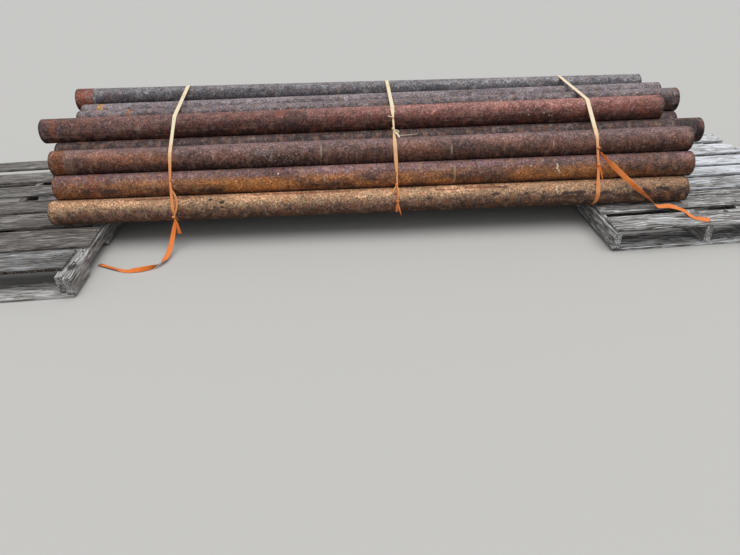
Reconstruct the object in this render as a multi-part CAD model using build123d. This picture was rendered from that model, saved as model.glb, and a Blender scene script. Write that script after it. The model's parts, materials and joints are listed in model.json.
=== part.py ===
from build123d import *
import math
import os

# A strapped bundle of used steel pipe that lies on two timber pallets. Sizes are in millimetres.
# The pipes run along X, the low front of the bundle faces -Y, and the ground is Z = 0.
# Places are first given from the middle of the front bottom pipe's axis, seen from above.

# Pipes
PIPE_OD = 127.0
PIPE_WALL = 7.5
PIPE_LENGTH = 3277.0
CONTACT_GAP = 0.3
# Some pipes were cut longer than the rest, by this much
EXTRA_LENGTHS = {
    "third_row_pipe_1": 7.0,
    "third_row_pipe_2": 150.0,
    "top_row_pipe_1": 16.0,
    "top_row_pipe_2": 14.0,
}

# The stack: each row lies in the grooves of the one below. The top row starts one groove late.
BOTTOM_ROW_COUNT = 8
TOP_ROW_COUNT = 3
TOP_ROW_SKIPPED_GROOVES = 1
# How far each pipe was pushed along X, front pipe first
ROW_SHIFTS = {
    "bottom_row": [0.0, 22.0, -16.0, 34.0, -28.0, 12.0, 41.0, -9.0],
    "second_row": [31.0, -20.0, 15.0, -33.0, 26.0, 5.0, -14.0],
    "third_row": [23.0, 70.0, 64.0, -12.0, 30.0, 8.0],
    "top_row": [-73.0, 72.0, 37.0],
}
# The back top pipe leans on the last pipe of the third row, the loose pipe on the last of the top row.
# Each lean is in degrees from upright, at the left end and at the right end.
BACK_PIPE_ANGLES = (18.8, 54.0)
BACK_PIPE_SHIFT = -12.0
LOOSE_PIPE_ANGLES = (61.4, 82.4)
LOOSE_PIPE_SHIFT = -24.0

# Pallet timber
BOARD_THICKNESS = 16.0
STRINGER_THICKNESS = 38.0
STRINGER_HEIGHT = 89.0
BOTTOM_BOARD_WIDTH = 140.0

# Right pallet, placed by its front left corner
RIGHT_CORNER = (1187.0, -305.0)
RIGHT_TURN = 3.3
RIGHT_WIDTH = 1219.0
RIGHT_DEPTH = 1219.0
RIGHT_PAIR_SPACING = 263.0
RIGHT_DECK_WIDTHS = [140.0, 175.0, 140.0, 100.0, 125.0, 150.0, 145.0]
RIGHT_DECK_GAPS = [51.0, 29.0, 40.0, 34.0, 45.0, 45.0]
RIGHT_DECK_INSETS = [8.0, 8.0, 6.0, 9.0, 5.0, 8.0, 11.0]

# Left pallet, placed by its front right corner
LEFT_CORNER = (-1359.0, -524.0)
LEFT_TURN = 3.0
LEFT_WIDTH = 1219.0
LEFT_DEPTH = 1524.0
LEFT_DECK_START = 70.0
LEFT_DECK_WIDTHS = [186.0, 203.0, 159.0, 158.0, 140.0, 140.0, 140.0]
LEFT_DECK_GAPS = [20.0, 49.0, 25.0, 78.0, 78.0, 78.0]
LEFT_DECK_INSETS = [58.0, 10.0, 10.0, 8.0, 12.0, 9.0, 11.0]
NOTCH_START = 200.0
NOTCH_LENGTH = 280.0
NOTCH_HEIGHT = 38.0
NOTCH_RADIUS = 14.0
FOOT_ROUND = 18.0
COMPANION_GAP = 2.0
COMPANION_START = 20.0
COMPANION_LENGTH = 620.0

# Strap webbing
STRAP_WIDTH = 25.0
STRAP_THICKNESS = 2.0
STRAP_TURN_STEP = 15.0
# Where each strap lies along X, by the share of its way round the bundle: 0 under the front pipe, 0.05
# to 0.15 up the front slope, 0.25 over the top front edge, 0.4 on the askew pipes, 0.65 under the back
# pipe, and 1 back under the front pipe
STRAP_PLACES = {
    "left_strap": [(0.0, -985.0), (0.05, -1000.0), (0.1, -1004.0), (0.155, -998.0), (0.25, -1004.0),
                   (0.4, -1019.0), (0.48, -1026.0), (0.65, -1026.0), (1.0, -985.0)],
    "middle_strap": [(0.0, 147.0), (0.05, 149.0), (0.1, 149.0), (0.155, 145.0), (0.25, 145.0), (0.4, 135.0),
                     (0.65, 135.0), (1.0, 147.0)],
    "right_strap": [(0.0, 1157.0), (0.03, 1168.0), (0.05, 1171.0), (0.1, 1175.0), (0.155, 1171.0),
                    (0.25, 1174.0), (0.4, 1146.0), (0.48, 1120.0), (0.65, 1086.0), (1.0, 1157.0)],
}
# The askew pipes' height counts where a strap crosses them, this share of the way round
ASKEW_SHARE = 0.4

# The free tails of the left and right straps: points of the route, by hand
TAIL_DIAMETER = STRAP_WIDTH
TAIL_SIDES = 12
TAIL_ROUTES = {
    "left_strap_tail": [
        (-996, -69.4, 156.3), (-1006, -90, 110), (-1016, -128, 66), (-1022, -178, 32), (-1034, -240, 14),
        (-1066, -296, 13), (-1122, -316, 13), (-1190, -318, 13), (-1272, -286, 13), (-1366, -236, 13),
    ],
    "right_strap_tail": [
        (1179, 26.7, 389.1), (1232, -8, 337), (1286, -34, 290), (1344, -64, 242), (1400, -88, 196),
        (1450, -94, 156), (1508, -86, 138), (1570, -99, 134), (1597, -141, 134), (1601, -200, 134),
        (1618, -242, 134), (1661, -256, 134),
    ],
}

PITCH = PIPE_OD + CONTACT_GAP
ROW_RISE = PITCH * math.sin(math.radians(60))
DECK_HEIGHT = 2 * BOARD_THICKNESS + STRINGER_HEIGHT
BOTTOM_AXIS_HEIGHT = DECK_HEIGHT + CONTACT_GAP + PIPE_OD / 2


def row_axes(row, level, first_y, count):
    """The axes of a row of parallel pipes: name, start and end of each."""
    axes = {}
    for i in range(count):
        name = f"{row}_pipe_{i + 1}"
        length = PIPE_LENGTH + EXTRA_LENGTHS.get(name, 0.0)
        shift = ROW_SHIFTS[row][i % len(ROW_SHIFTS[row])]
        y = first_y + i * PITCH
        z = BOTTOM_AXIS_HEIGHT + level * ROW_RISE
        axes[name] = (Vector(shift - length / 2, y, z), Vector(shift + length / 2, y, z))
    return axes


def leaning_axis(below, lean, shift):
    """The axis of a pipe that lies askew on the back of the one below it, touching it at mid length."""
    reach = PITCH / math.cos(math.radians(abs(lean[1] - lean[0]) / 2))
    ends = []
    for side, angle in zip((-1, 1), lean):
        y = below[0].Y + reach * math.sin(math.radians(angle))
        z = below[0].Z + reach * math.cos(math.radians(angle))
        ends.append(Vector(shift + side * PIPE_LENGTH / 2, y, z))
    middle = (ends[0] + ends[1]) * 0.5
    along = (ends[1] - ends[0]).normalized() * (PIPE_LENGTH / 2)
    return (middle - along, middle + along)


def all_axes():
    """Every pipe's axis, by name."""
    axes = row_axes("bottom_row", 0, 0.0, BOTTOM_ROW_COUNT)
    axes.update(row_axes("second_row", 1, 0.5 * PITCH, BOTTOM_ROW_COUNT - 1))
    axes.update(row_axes("third_row", 2, PITCH, BOTTOM_ROW_COUNT - 2))
    axes.update(row_axes("top_row", 3, (1.5 + TOP_ROW_SKIPPED_GROOVES) * PITCH, TOP_ROW_COUNT))
    last_third = axes[f"third_row_pipe_{BOTTOM_ROW_COUNT - 2}"]
    axes["back_top_pipe"] = leaning_axis(last_third, BACK_PIPE_ANGLES, BACK_PIPE_SHIFT)
    last_top = axes[f"top_row_pipe_{TOP_ROW_COUNT}"]
    axes["loose_top_pipe"] = leaning_axis(last_top, LOOSE_PIPE_ANGLES, LOOSE_PIPE_SHIFT)
    return axes


def pipe(start, end):
    """An open pipe with square ends, from one end of its axis to the other."""
    along = end - start
    section = Plane(origin=start, x_dir=(0, 1, 0), z_dir=along.normalized())
    ring = section * (Circle(PIPE_OD / 2) - Circle(PIPE_OD / 2 - PIPE_WALL))
    return extrude(ring, amount=along.length)


def slab(low, high):
    """A box between two opposite corners."""
    size = [b - a for a, b in zip(low, high)]
    return Pos(*low) * Box(*size, align=(Align.MIN, Align.MIN, Align.MIN))


def across(side, first, last):
    """Two distances from a pallet's outer face as X values: side is 1 to the right of it, -1 to the left."""
    return (first, last) if side > 0 else (-last, -first)


def stringer(side, at, start, length, notches):
    """One upright timber that runs front to back, with fork notches where it has them."""
    x0, x1 = across(side, at, at + STRINGER_THICKNESS)
    base = BOARD_THICKNESS
    timber = slab((x0, start, base), (x1, start + length, base + STRINGER_HEIGHT))
    for notch in notches:
        cut = slab((x0 - 1, notch, base - NOTCH_HEIGHT), (x1 + 1, notch + NOTCH_LENGTH, base + NOTCH_HEIGHT))
        roof = cut.edges().filter_by(Axis.X).group_by(Axis.Z)[-1]
        timber -= fillet(roof, NOTCH_RADIUS)
    if notches:
        toe = timber.edges().filter_by(Axis.X).group_by(Axis.Z)[0].sort_by(Axis.Y)[0]
        timber = fillet(toe, FOOT_ROUND)
    return timber


def deck_boards(name, side, width, depth, start, widths, gaps, insets):
    """The boards across the top, front first. The gaps share what depth is left, so the last lies flush."""
    parts = {}
    base = BOARD_THICKNESS + STRINGER_HEIGHT
    share = (depth - start - sum(widths)) / sum(gaps)
    at = start
    for i, (board, gap) in enumerate(zip(widths, gaps + [0.0])):
        x0, x1 = across(side, insets[i], width - insets[-1 - i])
        parts[f"{name}_deck_board_{i + 1}"] = slab((x0, at, base), (x1, at + board, DECK_HEIGHT))
        at += board + gap * share
    return parts


def bottom_boards(name, side, width, depth, inset):
    """The three boards under the stringers: front, middle and back."""
    parts = {}
    for i in range(3):
        at = i * (depth - BOTTOM_BOARD_WIDTH) / 2
        x0, x1 = across(side, inset, width - inset)
        parts[f"{name}_bottom_board_{i + 1}"] = slab((x0, at, 0), (x1, at + BOTTOM_BOARD_WIDTH, BOARD_THICKNESS))
    return parts


def right_pallet():
    """The pallet under the right end, with plain stringers: one at each side and a pair between."""
    middle = (RIGHT_WIDTH - RIGHT_PAIR_SPACING - STRINGER_THICKNESS) / 2
    places = [0.0, middle, middle + RIGHT_PAIR_SPACING, RIGHT_WIDTH - STRINGER_THICKNESS]
    parts = {}
    for i, at in enumerate(places):
        parts[f"right_pallet_stringer_{i + 1}"] = stringer(1, at, 0, RIGHT_DEPTH, [])
    parts.update(deck_boards("right_pallet", 1, RIGHT_WIDTH, RIGHT_DEPTH, 0.0,
                             RIGHT_DECK_WIDTHS, RIGHT_DECK_GAPS, RIGHT_DECK_INSETS))
    parts.update(bottom_boards("right_pallet", 1, RIGHT_WIDTH, RIGHT_DEPTH, RIGHT_DECK_INSETS[0]))
    place = Pos(*RIGHT_CORNER, 0) * Rot(0, 0, RIGHT_TURN)
    return {name: place * part for name, part in parts.items()}


def left_pallet():
    """The longer pallet under the left end, with notched stringers and a short one added beside the first."""
    notches = [NOTCH_START, LEFT_DEPTH - NOTCH_START - NOTCH_LENGTH]
    places = [0.0, (LEFT_WIDTH - STRINGER_THICKNESS) / 2, LEFT_WIDTH - STRINGER_THICKNESS]
    parts = {}
    for i, at in enumerate(places):
        parts[f"left_pallet_stringer_{i + 1}"] = stringer(-1, at, 0, LEFT_DEPTH, notches)
    beside = STRINGER_THICKNESS + COMPANION_GAP
    parts["left_pallet_companion"] = stringer(-1, beside, COMPANION_START, COMPANION_LENGTH, notches[:1])
    parts.update(deck_boards("left_pallet", -1, LEFT_WIDTH, LEFT_DEPTH, LEFT_DECK_START,
                             LEFT_DECK_WIDTHS, LEFT_DECK_GAPS, LEFT_DECK_INSETS))
    parts.update(bottom_boards("left_pallet", -1, LEFT_WIDTH, LEFT_DEPTH, LEFT_DECK_INSETS[1]))
    place = Pos(*LEFT_CORNER, 0) * Rot(0, 0, LEFT_TURN)
    return {name: place * part for name, part in parts.items()}


def between(keys, at):
    """The value at a place, on straight lines between (place, value) keys that rise."""
    for (a0, v0), (a1, v1) in zip(keys, keys[1:]):
        if at <= a1:
            return v0 + (v1 - v0) * (at - a0) / (a1 - a0)
    return keys[-1][1]


def hull(points):
    """The outer points of a set in the Y-Z plane, clockwise as seen with Y to the right and Z up."""
    points = sorted(points)

    def chain(ordered):
        kept = []
        for p in ordered:
            while len(kept) > 1:
                (ay, az), (by, bz) = kept[-2], kept[-1]
                if (by - ay) * (p[1] - az) - (bz - az) * (p[0] - ay) < 0:
                    break
                kept.pop()
            kept.append(p)
        return kept

    return chain(points)[:-1] + chain(points[::-1])[:-1]


def strap_stations(axes, places):
    """Where a tight strap turns round the outermost pipes: X, then the pipe's centre, then how it faces."""
    x = between(places, ASKEW_SHARE)
    centres = []
    for start, end in axes.values():
        share = (x - start.X) / (end.X - start.X)
        at = start + (end - start) * share
        centres.append((at.Y, at.Z))
    ring = hull(centres)
    turns = []
    facing = 270.0
    run = 0.0
    for i, (y, z) in enumerate(ring):
        before = ring[i - 1]
        after = ring[(i + 1) % len(ring)]
        came = math.degrees(math.atan2(z - before[1], y - before[0]))
        goes = math.degrees(math.atan2(after[1] - z, after[0] - y))
        turn = (came - goes) % 360
        steps = max(1, math.ceil(turn / STRAP_TURN_STEP))
        for k in range(steps + 1):
            turned = turn * k / steps
            turns.append((run + math.radians(turned) * PIPE_OD / 2, y, z, facing - turned))
        facing -= turn
        run = turns[-1][0] + math.hypot(after[0] - y, after[1] - z)
    return [(between(places, gone / run), y, z, facing) for gone, y, z, facing in turns]


def strap_section(x, y, z, facing):
    """The strap's flat section at one station, just clear of the pipe there."""
    inner = (PIPE_OD / 2 + CONTACT_GAP) / math.cos(math.radians(STRAP_TURN_STEP / 2))
    out = Vector(0, math.cos(math.radians(facing)), math.sin(math.radians(facing)))
    middle = Vector(x, y, z) + out * (inner + STRAP_THICKNESS / 2)
    plane = Plane(origin=middle, x_dir=(1, 0, 0), z_dir=Vector(1, 0, 0).cross(out))
    return plane * Rectangle(STRAP_WIDTH, STRAP_THICKNESS)


def strap(axes, places):
    """One strap, tight round the whole bundle: flat stretches between the turns, then the run beneath."""
    sections = [strap_section(*station) for station in strap_stations(axes, places)]
    over = loft(sections, ruled=True)
    under = loft([sections[-1], sections[0]], ruled=True)
    return over + under


def tail(name, route):
    """The free end of a strap as a plain tube: straight runs joined by arcs as large as they allow."""
    points = [Vector(*p) for p in route]
    radii = []
    for a, b, c in zip(points, points[1:], points[2:]):
        turn = math.radians((b - a).get_angle(c - b))
        shorter = min((b - a).length, (c - b).length)
        radii.append(0.45 * shorter / math.tan(turn / 2))
    print(name, "radii", [round(r) for r in radii])
    path = FilletPolyline(*points, radius=radii)
    start = Plane(origin=points[0], z_dir=(points[1] - points[0]).normalized())
    section = RegularPolygon(TAIL_DIAMETER / 2, TAIL_SIDES)
    tube = sweep(start * section, path=path)
    share = tube.volume / (section.area * path.length)
    print(name, "length", round(path.length), "volume share", round(share, 5))
    return tube


def build():
    """Every solid of the model by name, with the origin below the middle of the bundle and its pallets."""
    axes = all_axes()
    parts = {name: pipe(start, end) for name, (start, end) in axes.items()}
    parts.update(right_pallet())
    parts.update(left_pallet())
    for name, places in STRAP_PLACES.items():
        parts[name] = strap(axes, places)
    boxes = [part.bounding_box() for part in parts.values()]
    middle_x = (min(b.min.X for b in boxes) + max(b.max.X for b in boxes)) / 2
    middle_y = (min(b.min.Y for b in boxes) + max(b.max.Y for b in boxes)) / 2
    for name, route in TAIL_ROUTES.items():
        parts[name] = tail(name, route)
    return {name: Pos(-middle_x, -middle_y, 0) * part for name, part in parts.items()}


os.makedirs("parts", exist_ok=True)
for name, part in build().items():
    export_step(part, f"parts/{name}.step")
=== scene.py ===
"""Looks of a bundle of used steel pipes: rusted pipes, orange webbing straps and two weathered pallets."""

from __future__ import annotations

import json
import logging
import math
import random
from dataclasses import dataclass, field, replace
from enum import Enum
from itertools import product

import bmesh
import bpy
from mathutils import Matrix, Vector, noise

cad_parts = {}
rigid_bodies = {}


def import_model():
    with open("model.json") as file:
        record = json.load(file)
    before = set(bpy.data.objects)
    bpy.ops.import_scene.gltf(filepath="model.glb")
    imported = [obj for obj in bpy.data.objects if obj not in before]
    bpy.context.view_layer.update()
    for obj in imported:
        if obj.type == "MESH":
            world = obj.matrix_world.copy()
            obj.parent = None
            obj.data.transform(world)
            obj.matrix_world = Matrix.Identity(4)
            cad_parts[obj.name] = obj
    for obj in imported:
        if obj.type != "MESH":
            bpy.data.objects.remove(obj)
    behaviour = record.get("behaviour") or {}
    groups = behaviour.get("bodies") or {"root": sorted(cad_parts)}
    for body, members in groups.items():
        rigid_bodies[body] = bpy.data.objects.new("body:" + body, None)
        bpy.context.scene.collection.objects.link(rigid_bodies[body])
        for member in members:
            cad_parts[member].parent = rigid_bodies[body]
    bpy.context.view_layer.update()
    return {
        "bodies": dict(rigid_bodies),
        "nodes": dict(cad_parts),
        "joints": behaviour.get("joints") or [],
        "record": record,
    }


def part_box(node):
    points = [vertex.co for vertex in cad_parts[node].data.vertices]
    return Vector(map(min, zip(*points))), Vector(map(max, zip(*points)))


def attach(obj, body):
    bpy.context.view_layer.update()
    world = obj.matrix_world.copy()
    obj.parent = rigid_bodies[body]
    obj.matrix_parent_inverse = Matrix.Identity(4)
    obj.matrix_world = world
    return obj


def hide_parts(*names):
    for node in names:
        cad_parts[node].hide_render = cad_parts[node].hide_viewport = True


LOG = logging.getLogger("bundle")
MM = 0.001
BODY = "root"
# Metres
PIPE_LENGTH = 3.277
PIPE_RADIUS = 0.0635
PIPE_WALL = 0.0075
WEBBING_THICKNESS = 0.0018
SAME_POINT = 1e-5
# The nodes that sums are made of
MATH = "ShaderNodeMath"
VECTOR_MATH = "ShaderNodeVectorMath"

Socket = bpy.types.NodeSocket
Value = float | int | bool | str | tuple | Vector | Socket | bpy.types.Material
# (place, value) keys that rise, and a place or a size in three directions
Keys = tuple[tuple[float, float], ...]
Point = tuple[float, float, float]
# The two ends of each pipe's axis, by node
Axes = dict[str, tuple[Vector, Vector]]


class Grain(Enum):
    """Which way a timber's grain runs: the axis along it and the one across it, in its pallet's own frame."""

    ACROSS = (0, 1)
    DEEP = (1, 0)


def linear(code: str) -> tuple[float, float, float, float]:
    """Turn an sRGB hex colour into a linear one.

    Args:
        code: The colour as "#rrggbb".

    Returns:
        Red, green, blue and alpha, each from 0 to 1.
    """
    parts = [int(code[i : i + 2], 16) / 255 for i in (1, 3, 5)]
    red, green, blue = (c / 12.92 if c <= 0.04045 else ((c + 0.055) / 1.055) ** 2.4 for c in parts)
    return (red, green, blue, 1.0)


def grains(size: float) -> float:
    """The Scale of a noise texture whose blotches are about this size in millimetres."""
    return 1 / (size * MM)


@dataclass
class Graph:
    """A node tree that is filled one node at a time."""

    tree: bpy.types.NodeTree

    def add(
        self,
        kind: str,
        inputs: dict[int | str, Value] | None = None,
        out: int | str = 0,
        stops: tuple[tuple[float, Value], ...] = (),
        **settings: Value,
    ) -> Socket | None:
        """Add one node with its settings, its values and its links.

        Args:
            kind: The node's Blender type.
            inputs: A value or another node's output for each input, by name or number.
            out: The output to return, by name or number.
            stops: The places and colours of a colour ramp.
            **settings: The node's own properties.

        Returns:
            The chosen output, or None for a node without one.
        """
        node = self.tree.nodes.new(kind)
        for name, value in settings.items():
            setattr(node, name, value)
        for key, value in (inputs or {}).items():
            socket = node.inputs[key]
            if isinstance(value, Socket):
                self.tree.links.new(value, socket)
            else:
                coloured = isinstance(value, str) and value.startswith("#")
                socket.default_value = linear(value) if coloured else value
        for i, (place, value) in enumerate(stops):
            ramp = node.color_ramp.elements
            stop = ramp[i] if i < 2 else ramp.new(place)
            stop.position = place
            stop.color = linear(value) if isinstance(value, str) else (value, value, value, 1)
        return node.outputs[out] if node.outputs else None

    def chain(self, kind: str, value: Value, *steps: tuple[Value, ...]) -> Socket:
        """Send a value through several nodes of one kind in a row.

        Args:
            kind: The nodes' Blender type.
            value: What goes into the first one.
            *steps: Each node's operation and its further inputs.

        Returns:
            What comes out of the last one.
        """
        for operation, *others in steps:
            inputs = {0: value} | {i + 1: other for i, other in enumerate(others)}
            value = self.add(kind, inputs, "Value" if operation == "LENGTH" else 0, operation=operation)
        return value

    def cover(self, colour: Socket, layers: list[tuple[Socket, Value]]) -> Socket:
        """Lay colours over a colour, one after the other.

        Args:
            colour: The colour so far.
            layers: How much of each layer shows, and its colour.

        Returns:
            The new colour.
        """
        for shown, tint in layers:
            colour = self.add("ShaderNodeMix", {0: shown, 6: colour, 7: tint}, out=2, data_type="RGBA")
        return colour

    def blotch(
        self, place: Socket, middle: Vector, halves: Point, wave: Socket, ragged: float,
        edge: tuple[float, float], strength: float
    ) -> Socket:
        """How much of one ragged oval shows.

        Args:
            place: Where the finish is looked at, in metres.
            middle: The oval's middle, in metres.
            halves: Its half sizes, in metres.
            wave: The noise that frays its outline.
            ragged: How far it does, as a share of the half sizes.
            edge: Where the oval starts to show and where it shows in full, in half sizes.
            strength: How strongly it then shows.

        Returns:
            How much of its colour shows.
        """
        gap = self.chain(VECTOR_MATH, place, ("SUBTRACT", middle),
                         ("MULTIPLY", Vector([1 / half for half in halves])), ("LENGTH",))
        gap = self.add(MATH, {0: wave, 1: ragged, 2: gap}, operation="MULTIPLY_ADD")
        return self.add("ShaderNodeMapRange", {"Value": gap, "From Min": edge[0], "From Max": edge[1],
                                               "To Max": strength})


@dataclass(frozen=True)
class Finish:
    """What every finish has: its name and a material that its subclass paints."""

    name: str

    def material(self) -> bpy.types.Material:
        """Make the material.

        Returns:
            The material, with its nodes.
        """
        made = bpy.data.materials.new(self.name)
        made.use_nodes = True
        made.node_tree.nodes.clear()
        graph = Graph(made.node_tree)
        graph.add("ShaderNodeOutputMaterial", {"Surface": self.paint(graph)})
        return made

    def paint(self, graph: Graph) -> Socket:
        """Add this finish's nodes to the graph and return the shader."""
        raise NotImplementedError


@dataclass(frozen=True)
class Band:
    """A ring of another colour round a pipe, in metres from its left end."""

    start: float
    end: float
    colour: str
    strength: float = 0.8


@dataclass(frozen=True)
class Mark:
    """A pit, scab, scratch or drip of paint on a pipe.

    along is metres from the left end, turn is degrees from the top towards the front, and long and
    tall are the mark's half sizes in metres along the pipe and round it.
    """

    along: float
    turn: float
    long: float
    tall: float
    colour: str
    strength: float = 0.9


@dataclass(frozen=True)
class Rust(Finish):
    """Rusted mill steel: rolled, left bare, and weathered to a dull, grainy coat of oxide.

    The eye sees no shine, a colour that changes from the top to the underside, clumps of grain in
    paler, darker and warmer rust, blotches that run along the pipe, and rings or spots where something
    has marked it. The change from top to underside is partly the rust's own, from the rained-on top to
    the dry underside, and partly painted light: painted shade towards the underside and a painted sheen
    of the sky on the top. The sawn ends are darkened as painted shade. heights holds where low, side,
    upper and top are, from 0 at the underside to 1 at the top, and a name that ends in along holds
    (share of the length, value) keys.
    """

    # These colours by height hold painted shade towards the underside and a painted sheen of the sky on the
    # top, besides the rust's own colour
    top: str = "#8a7674"
    upper: str = "#6a5550"
    side: str = "#523e3a"
    low: str = "#35251f"
    heights: tuple[float, float, float, float] = (0.33, 0.59, 0.81, 0.96)
    pale: str = "#b39c90"
    pale_share: float = 0.45
    dark: str = "#241817"
    dark_share: float = 0.1
    warm: str = "#a5633a"
    warm_share: float = 0.35
    patch: str = "#8f5c2c"
    patch_share: float = 0.0
    patch_turn: float = 90.0
    patch_spread: float = 40.0
    patch_core: float = 0.4
    patch_along: Keys = ((0.0, 1.0), (1.0, 1.0))
    tone_along: Keys = ((0.0, 1.0), (1.0, 1.0))
    streak: str = "#a08478"
    streak_share: float = 0.0
    scratch_share: float = 0.15
    speck: str = "#c8b6a4"
    speck_share: float = 0.2
    speck_along: Keys = ((0.0, 1.0), (1.0, 1.0))
    bands: tuple[Band, ...] = ()
    band_waver: float = 0.05
    band_edge: float = 0.005
    marks: tuple[Mark, ...] = ()
    mark_ragged: float = 2.4
    mark_edge: tuple[float, float] = (1.15, 0.8)
    # Painted shade at the sawn ends: how far in it reaches, how much its edge wavers, and how dark it gets at
    # the very end
    rim: float = 0.016
    end_shade_waver: float = 0.02
    end_shade_tone: float = 0.4
    bore: str = "#2a1c1a"
    roughness: float = 0.7
    grain: float = 5.6
    blotches: float = 1.3
    drift: float = 2.2
    relief: float = 0.003

    def paint(self, graph: Graph) -> Socket:
        """Paint a pipe.

        Args:
            graph: The finish's graph.

        Returns:
            The shader.
        """
        add = graph.add
        here = add("ShaderNodeAttribute", attribute_name="pipe_coord", out="Vector")
        bore = add("ShaderNodeAttribute", attribute_name="bore", out="Fac")
        place = add("ShaderNodeTexCoord", out="Object")
        # Rust grains are under a millimetre. They are drawn in clumps of 9 mm, the finest that the view shows
        fine = add("ShaderNodeTexNoise",
                   {"Vector": place, "Scale": grains(9), "Detail": 3.0, "Roughness": 0.85})
        blots = add("ShaderNodeTexNoise",
                    {"Vector": place, "Scale": grains(36), "Detail": 4.0, "Roughness": 0.62}, out="Color")
        blots = add("ShaderNodeSeparateColor", {"Color": blots}).node.outputs
        blot = blots["Red"]
        long_way = add("ShaderNodeMapping", {"Vector": place, "Scale": (0.3, 1.0, 1.0)})
        wide = add("ShaderNodeTexNoise",
                   {"Vector": long_way, "Scale": grains(110), "Detail": 4.0, "Roughness": 0.6})
        along, up, front = add("ShaderNodeSeparateXYZ", {"Vector": here}).node.outputs
        wave = add(MATH, {0: blot, 1: -0.5}, operation="ADD")
        share = add(MATH, {0: along, 1: 1 / PIPE_LENGTH}, operation="MULTIPLY")
        # Colour by height, partly the rust's own and partly painted shade below and a painted sheen on top,
        # then the patches and rings over it, then light and dark, with painted shade at the sawn ends
        patches = self.patches(graph, (up, front), share, wide)
        rings = [(self.ring(graph, band, along, wave), band.colour) for band in self.bands]
        colour = graph.cover(self.ground(graph, up, wave), [(patches, self.patch)] + rings)
        tone = self.tone(graph, (fine, blot, wide), (along, share), wave)
        colour = add("ShaderNodeMix", {0: 1.0, 6: colour, 7: tone}, out=2, data_type="RGBA",
                     blend_type="MULTIPLY")
        # Streaks and scratches, other rusts in clumps, single marks, and the dark of the bore
        specks = add("ShaderNodeValToRGB", {"Fac": share}, out="Color", stops=self.speck_along)
        specks = add(MATH, {0: specks, 1: self.speck_share}, operation="MULTIPLY")
        layers = [
            (self.lines(graph, here, blot, (1.0, 0.05, 0.05), self.streak_share), self.streak),
            (self.lines(graph, here, blots["Green"], (0.03, 1.0, 1.0), self.scratch_share), self.streak),
        ]
        for source, low, high, shown, tint in (
            (blots["Green"], 0.54, 0.72, self.pale_share, self.pale),
            (blots["Blue"], 0.50, 0.68, self.warm_share, self.warm),
            (fine, 0.42, 0.25, self.dark_share, self.dark),
            (fine, 0.6, 0.66, specks, self.speck),
        ):
            spots = add("ShaderNodeMapRange",
                        {"Value": source, "From Min": low, "From Max": high, "To Max": shown})
            layers.append((spots, tint))
        for mark in self.marks:
            angle = math.radians(mark.turn)
            middle = Vector((mark.along, math.cos(angle) * PIPE_RADIUS, math.sin(angle) * PIPE_RADIUS))
            shown = graph.blotch(here, middle, (mark.long, mark.tall, mark.tall), wave, self.mark_ragged,
                                 self.mark_edge, mark.strength)
            layers.append((shown, mark.colour))
        colour = graph.cover(colour, layers + [(bore, self.bore)])
        height = add(MATH, {0: fine, 1: 0.8, 2: blot}, operation="MULTIPLY_ADD")
        bump = add("ShaderNodeBump", {"Height": height, "Strength": 0.6, "Distance": self.relief})
        return add("ShaderNodeBsdfPrincipled",
                   {"Base Color": colour, "Roughness": self.roughness, "Metallic": 0.0, "Normal": bump})

    def ground(self, graph: Graph, up: Socket, wave: Socket) -> Socket:
        """Colour from the underside to the top, with a wavering edge. It is partly the rust's own change and
        partly painted shade towards the underside and a painted sheen of the sky on the top.

        Args:
            graph: The finish's graph.
            up: How far the place is above the pipe's axis.
            wave: The noise that wavers the edges.

        Returns:
            The colour.
        """
        rise = graph.add(MATH, {0: up, 1: 1 / PIPE_RADIUS, 2: wave}, operation="MULTIPLY_ADD")
        rise = graph.add("ShaderNodeMapRange", {"Value": rise, "From Min": -1.0, "From Max": 1.0})
        low, side, upper, top = self.heights
        return graph.add("ShaderNodeValToRGB", {"Fac": rise}, out="Color",
                         stops=((low, self.low), (top, self.top), (side, self.side), (upper, self.upper)))

    def tone(
        self, graph: Graph, noises: tuple[Socket, Socket, Socket], places: tuple[Socket, Socket], wave: Socket
    ) -> Socket:
        """How light the rust is in clumps, blotches and long drifts and from end to end, with painted shade
        at the sawn rims.

        Args:
            graph: The finish's graph.
            noises: The noises of the clumps, the blotches and the drifts.
            places: How far along the pipe the place is, in metres and as a share.
            wave: The noise that wavers the rims' edge.

        Returns:
            What the colour is multiplied by.
        """
        add = graph.add
        amounts = (self.grain, self.blotches, self.drift)
        tone: Value = -sum(amounts) / 2
        for source, amount in zip(noises, amounts):
            tone = add(MATH, {0: source, 1: amount, 2: tone}, operation="MULTIPLY_ADD")
        along, share = places
        ends = add("ShaderNodeValToRGB", {"Fac": share}, out="Color", stops=self.tone_along)
        # Painted shade: the last of each end is darkened, as the sawn edge looks in shadow
        rest = graph.chain(MATH, PIPE_LENGTH, ("SUBTRACT", along), ("MINIMUM", along))
        rest = add(MATH, {0: wave, 1: self.end_shade_waver, 2: rest}, operation="MULTIPLY_ADD")
        rim = add("ShaderNodeMapRange", {"Value": rest, "From Min": 0.0, "From Max": self.rim,
                                         "To Min": self.end_shade_tone, "To Max": 1.0})
        return graph.chain(MATH, tone, ("EXPONENT",), ("MULTIPLY", ends), ("MULTIPLY", rim))

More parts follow.
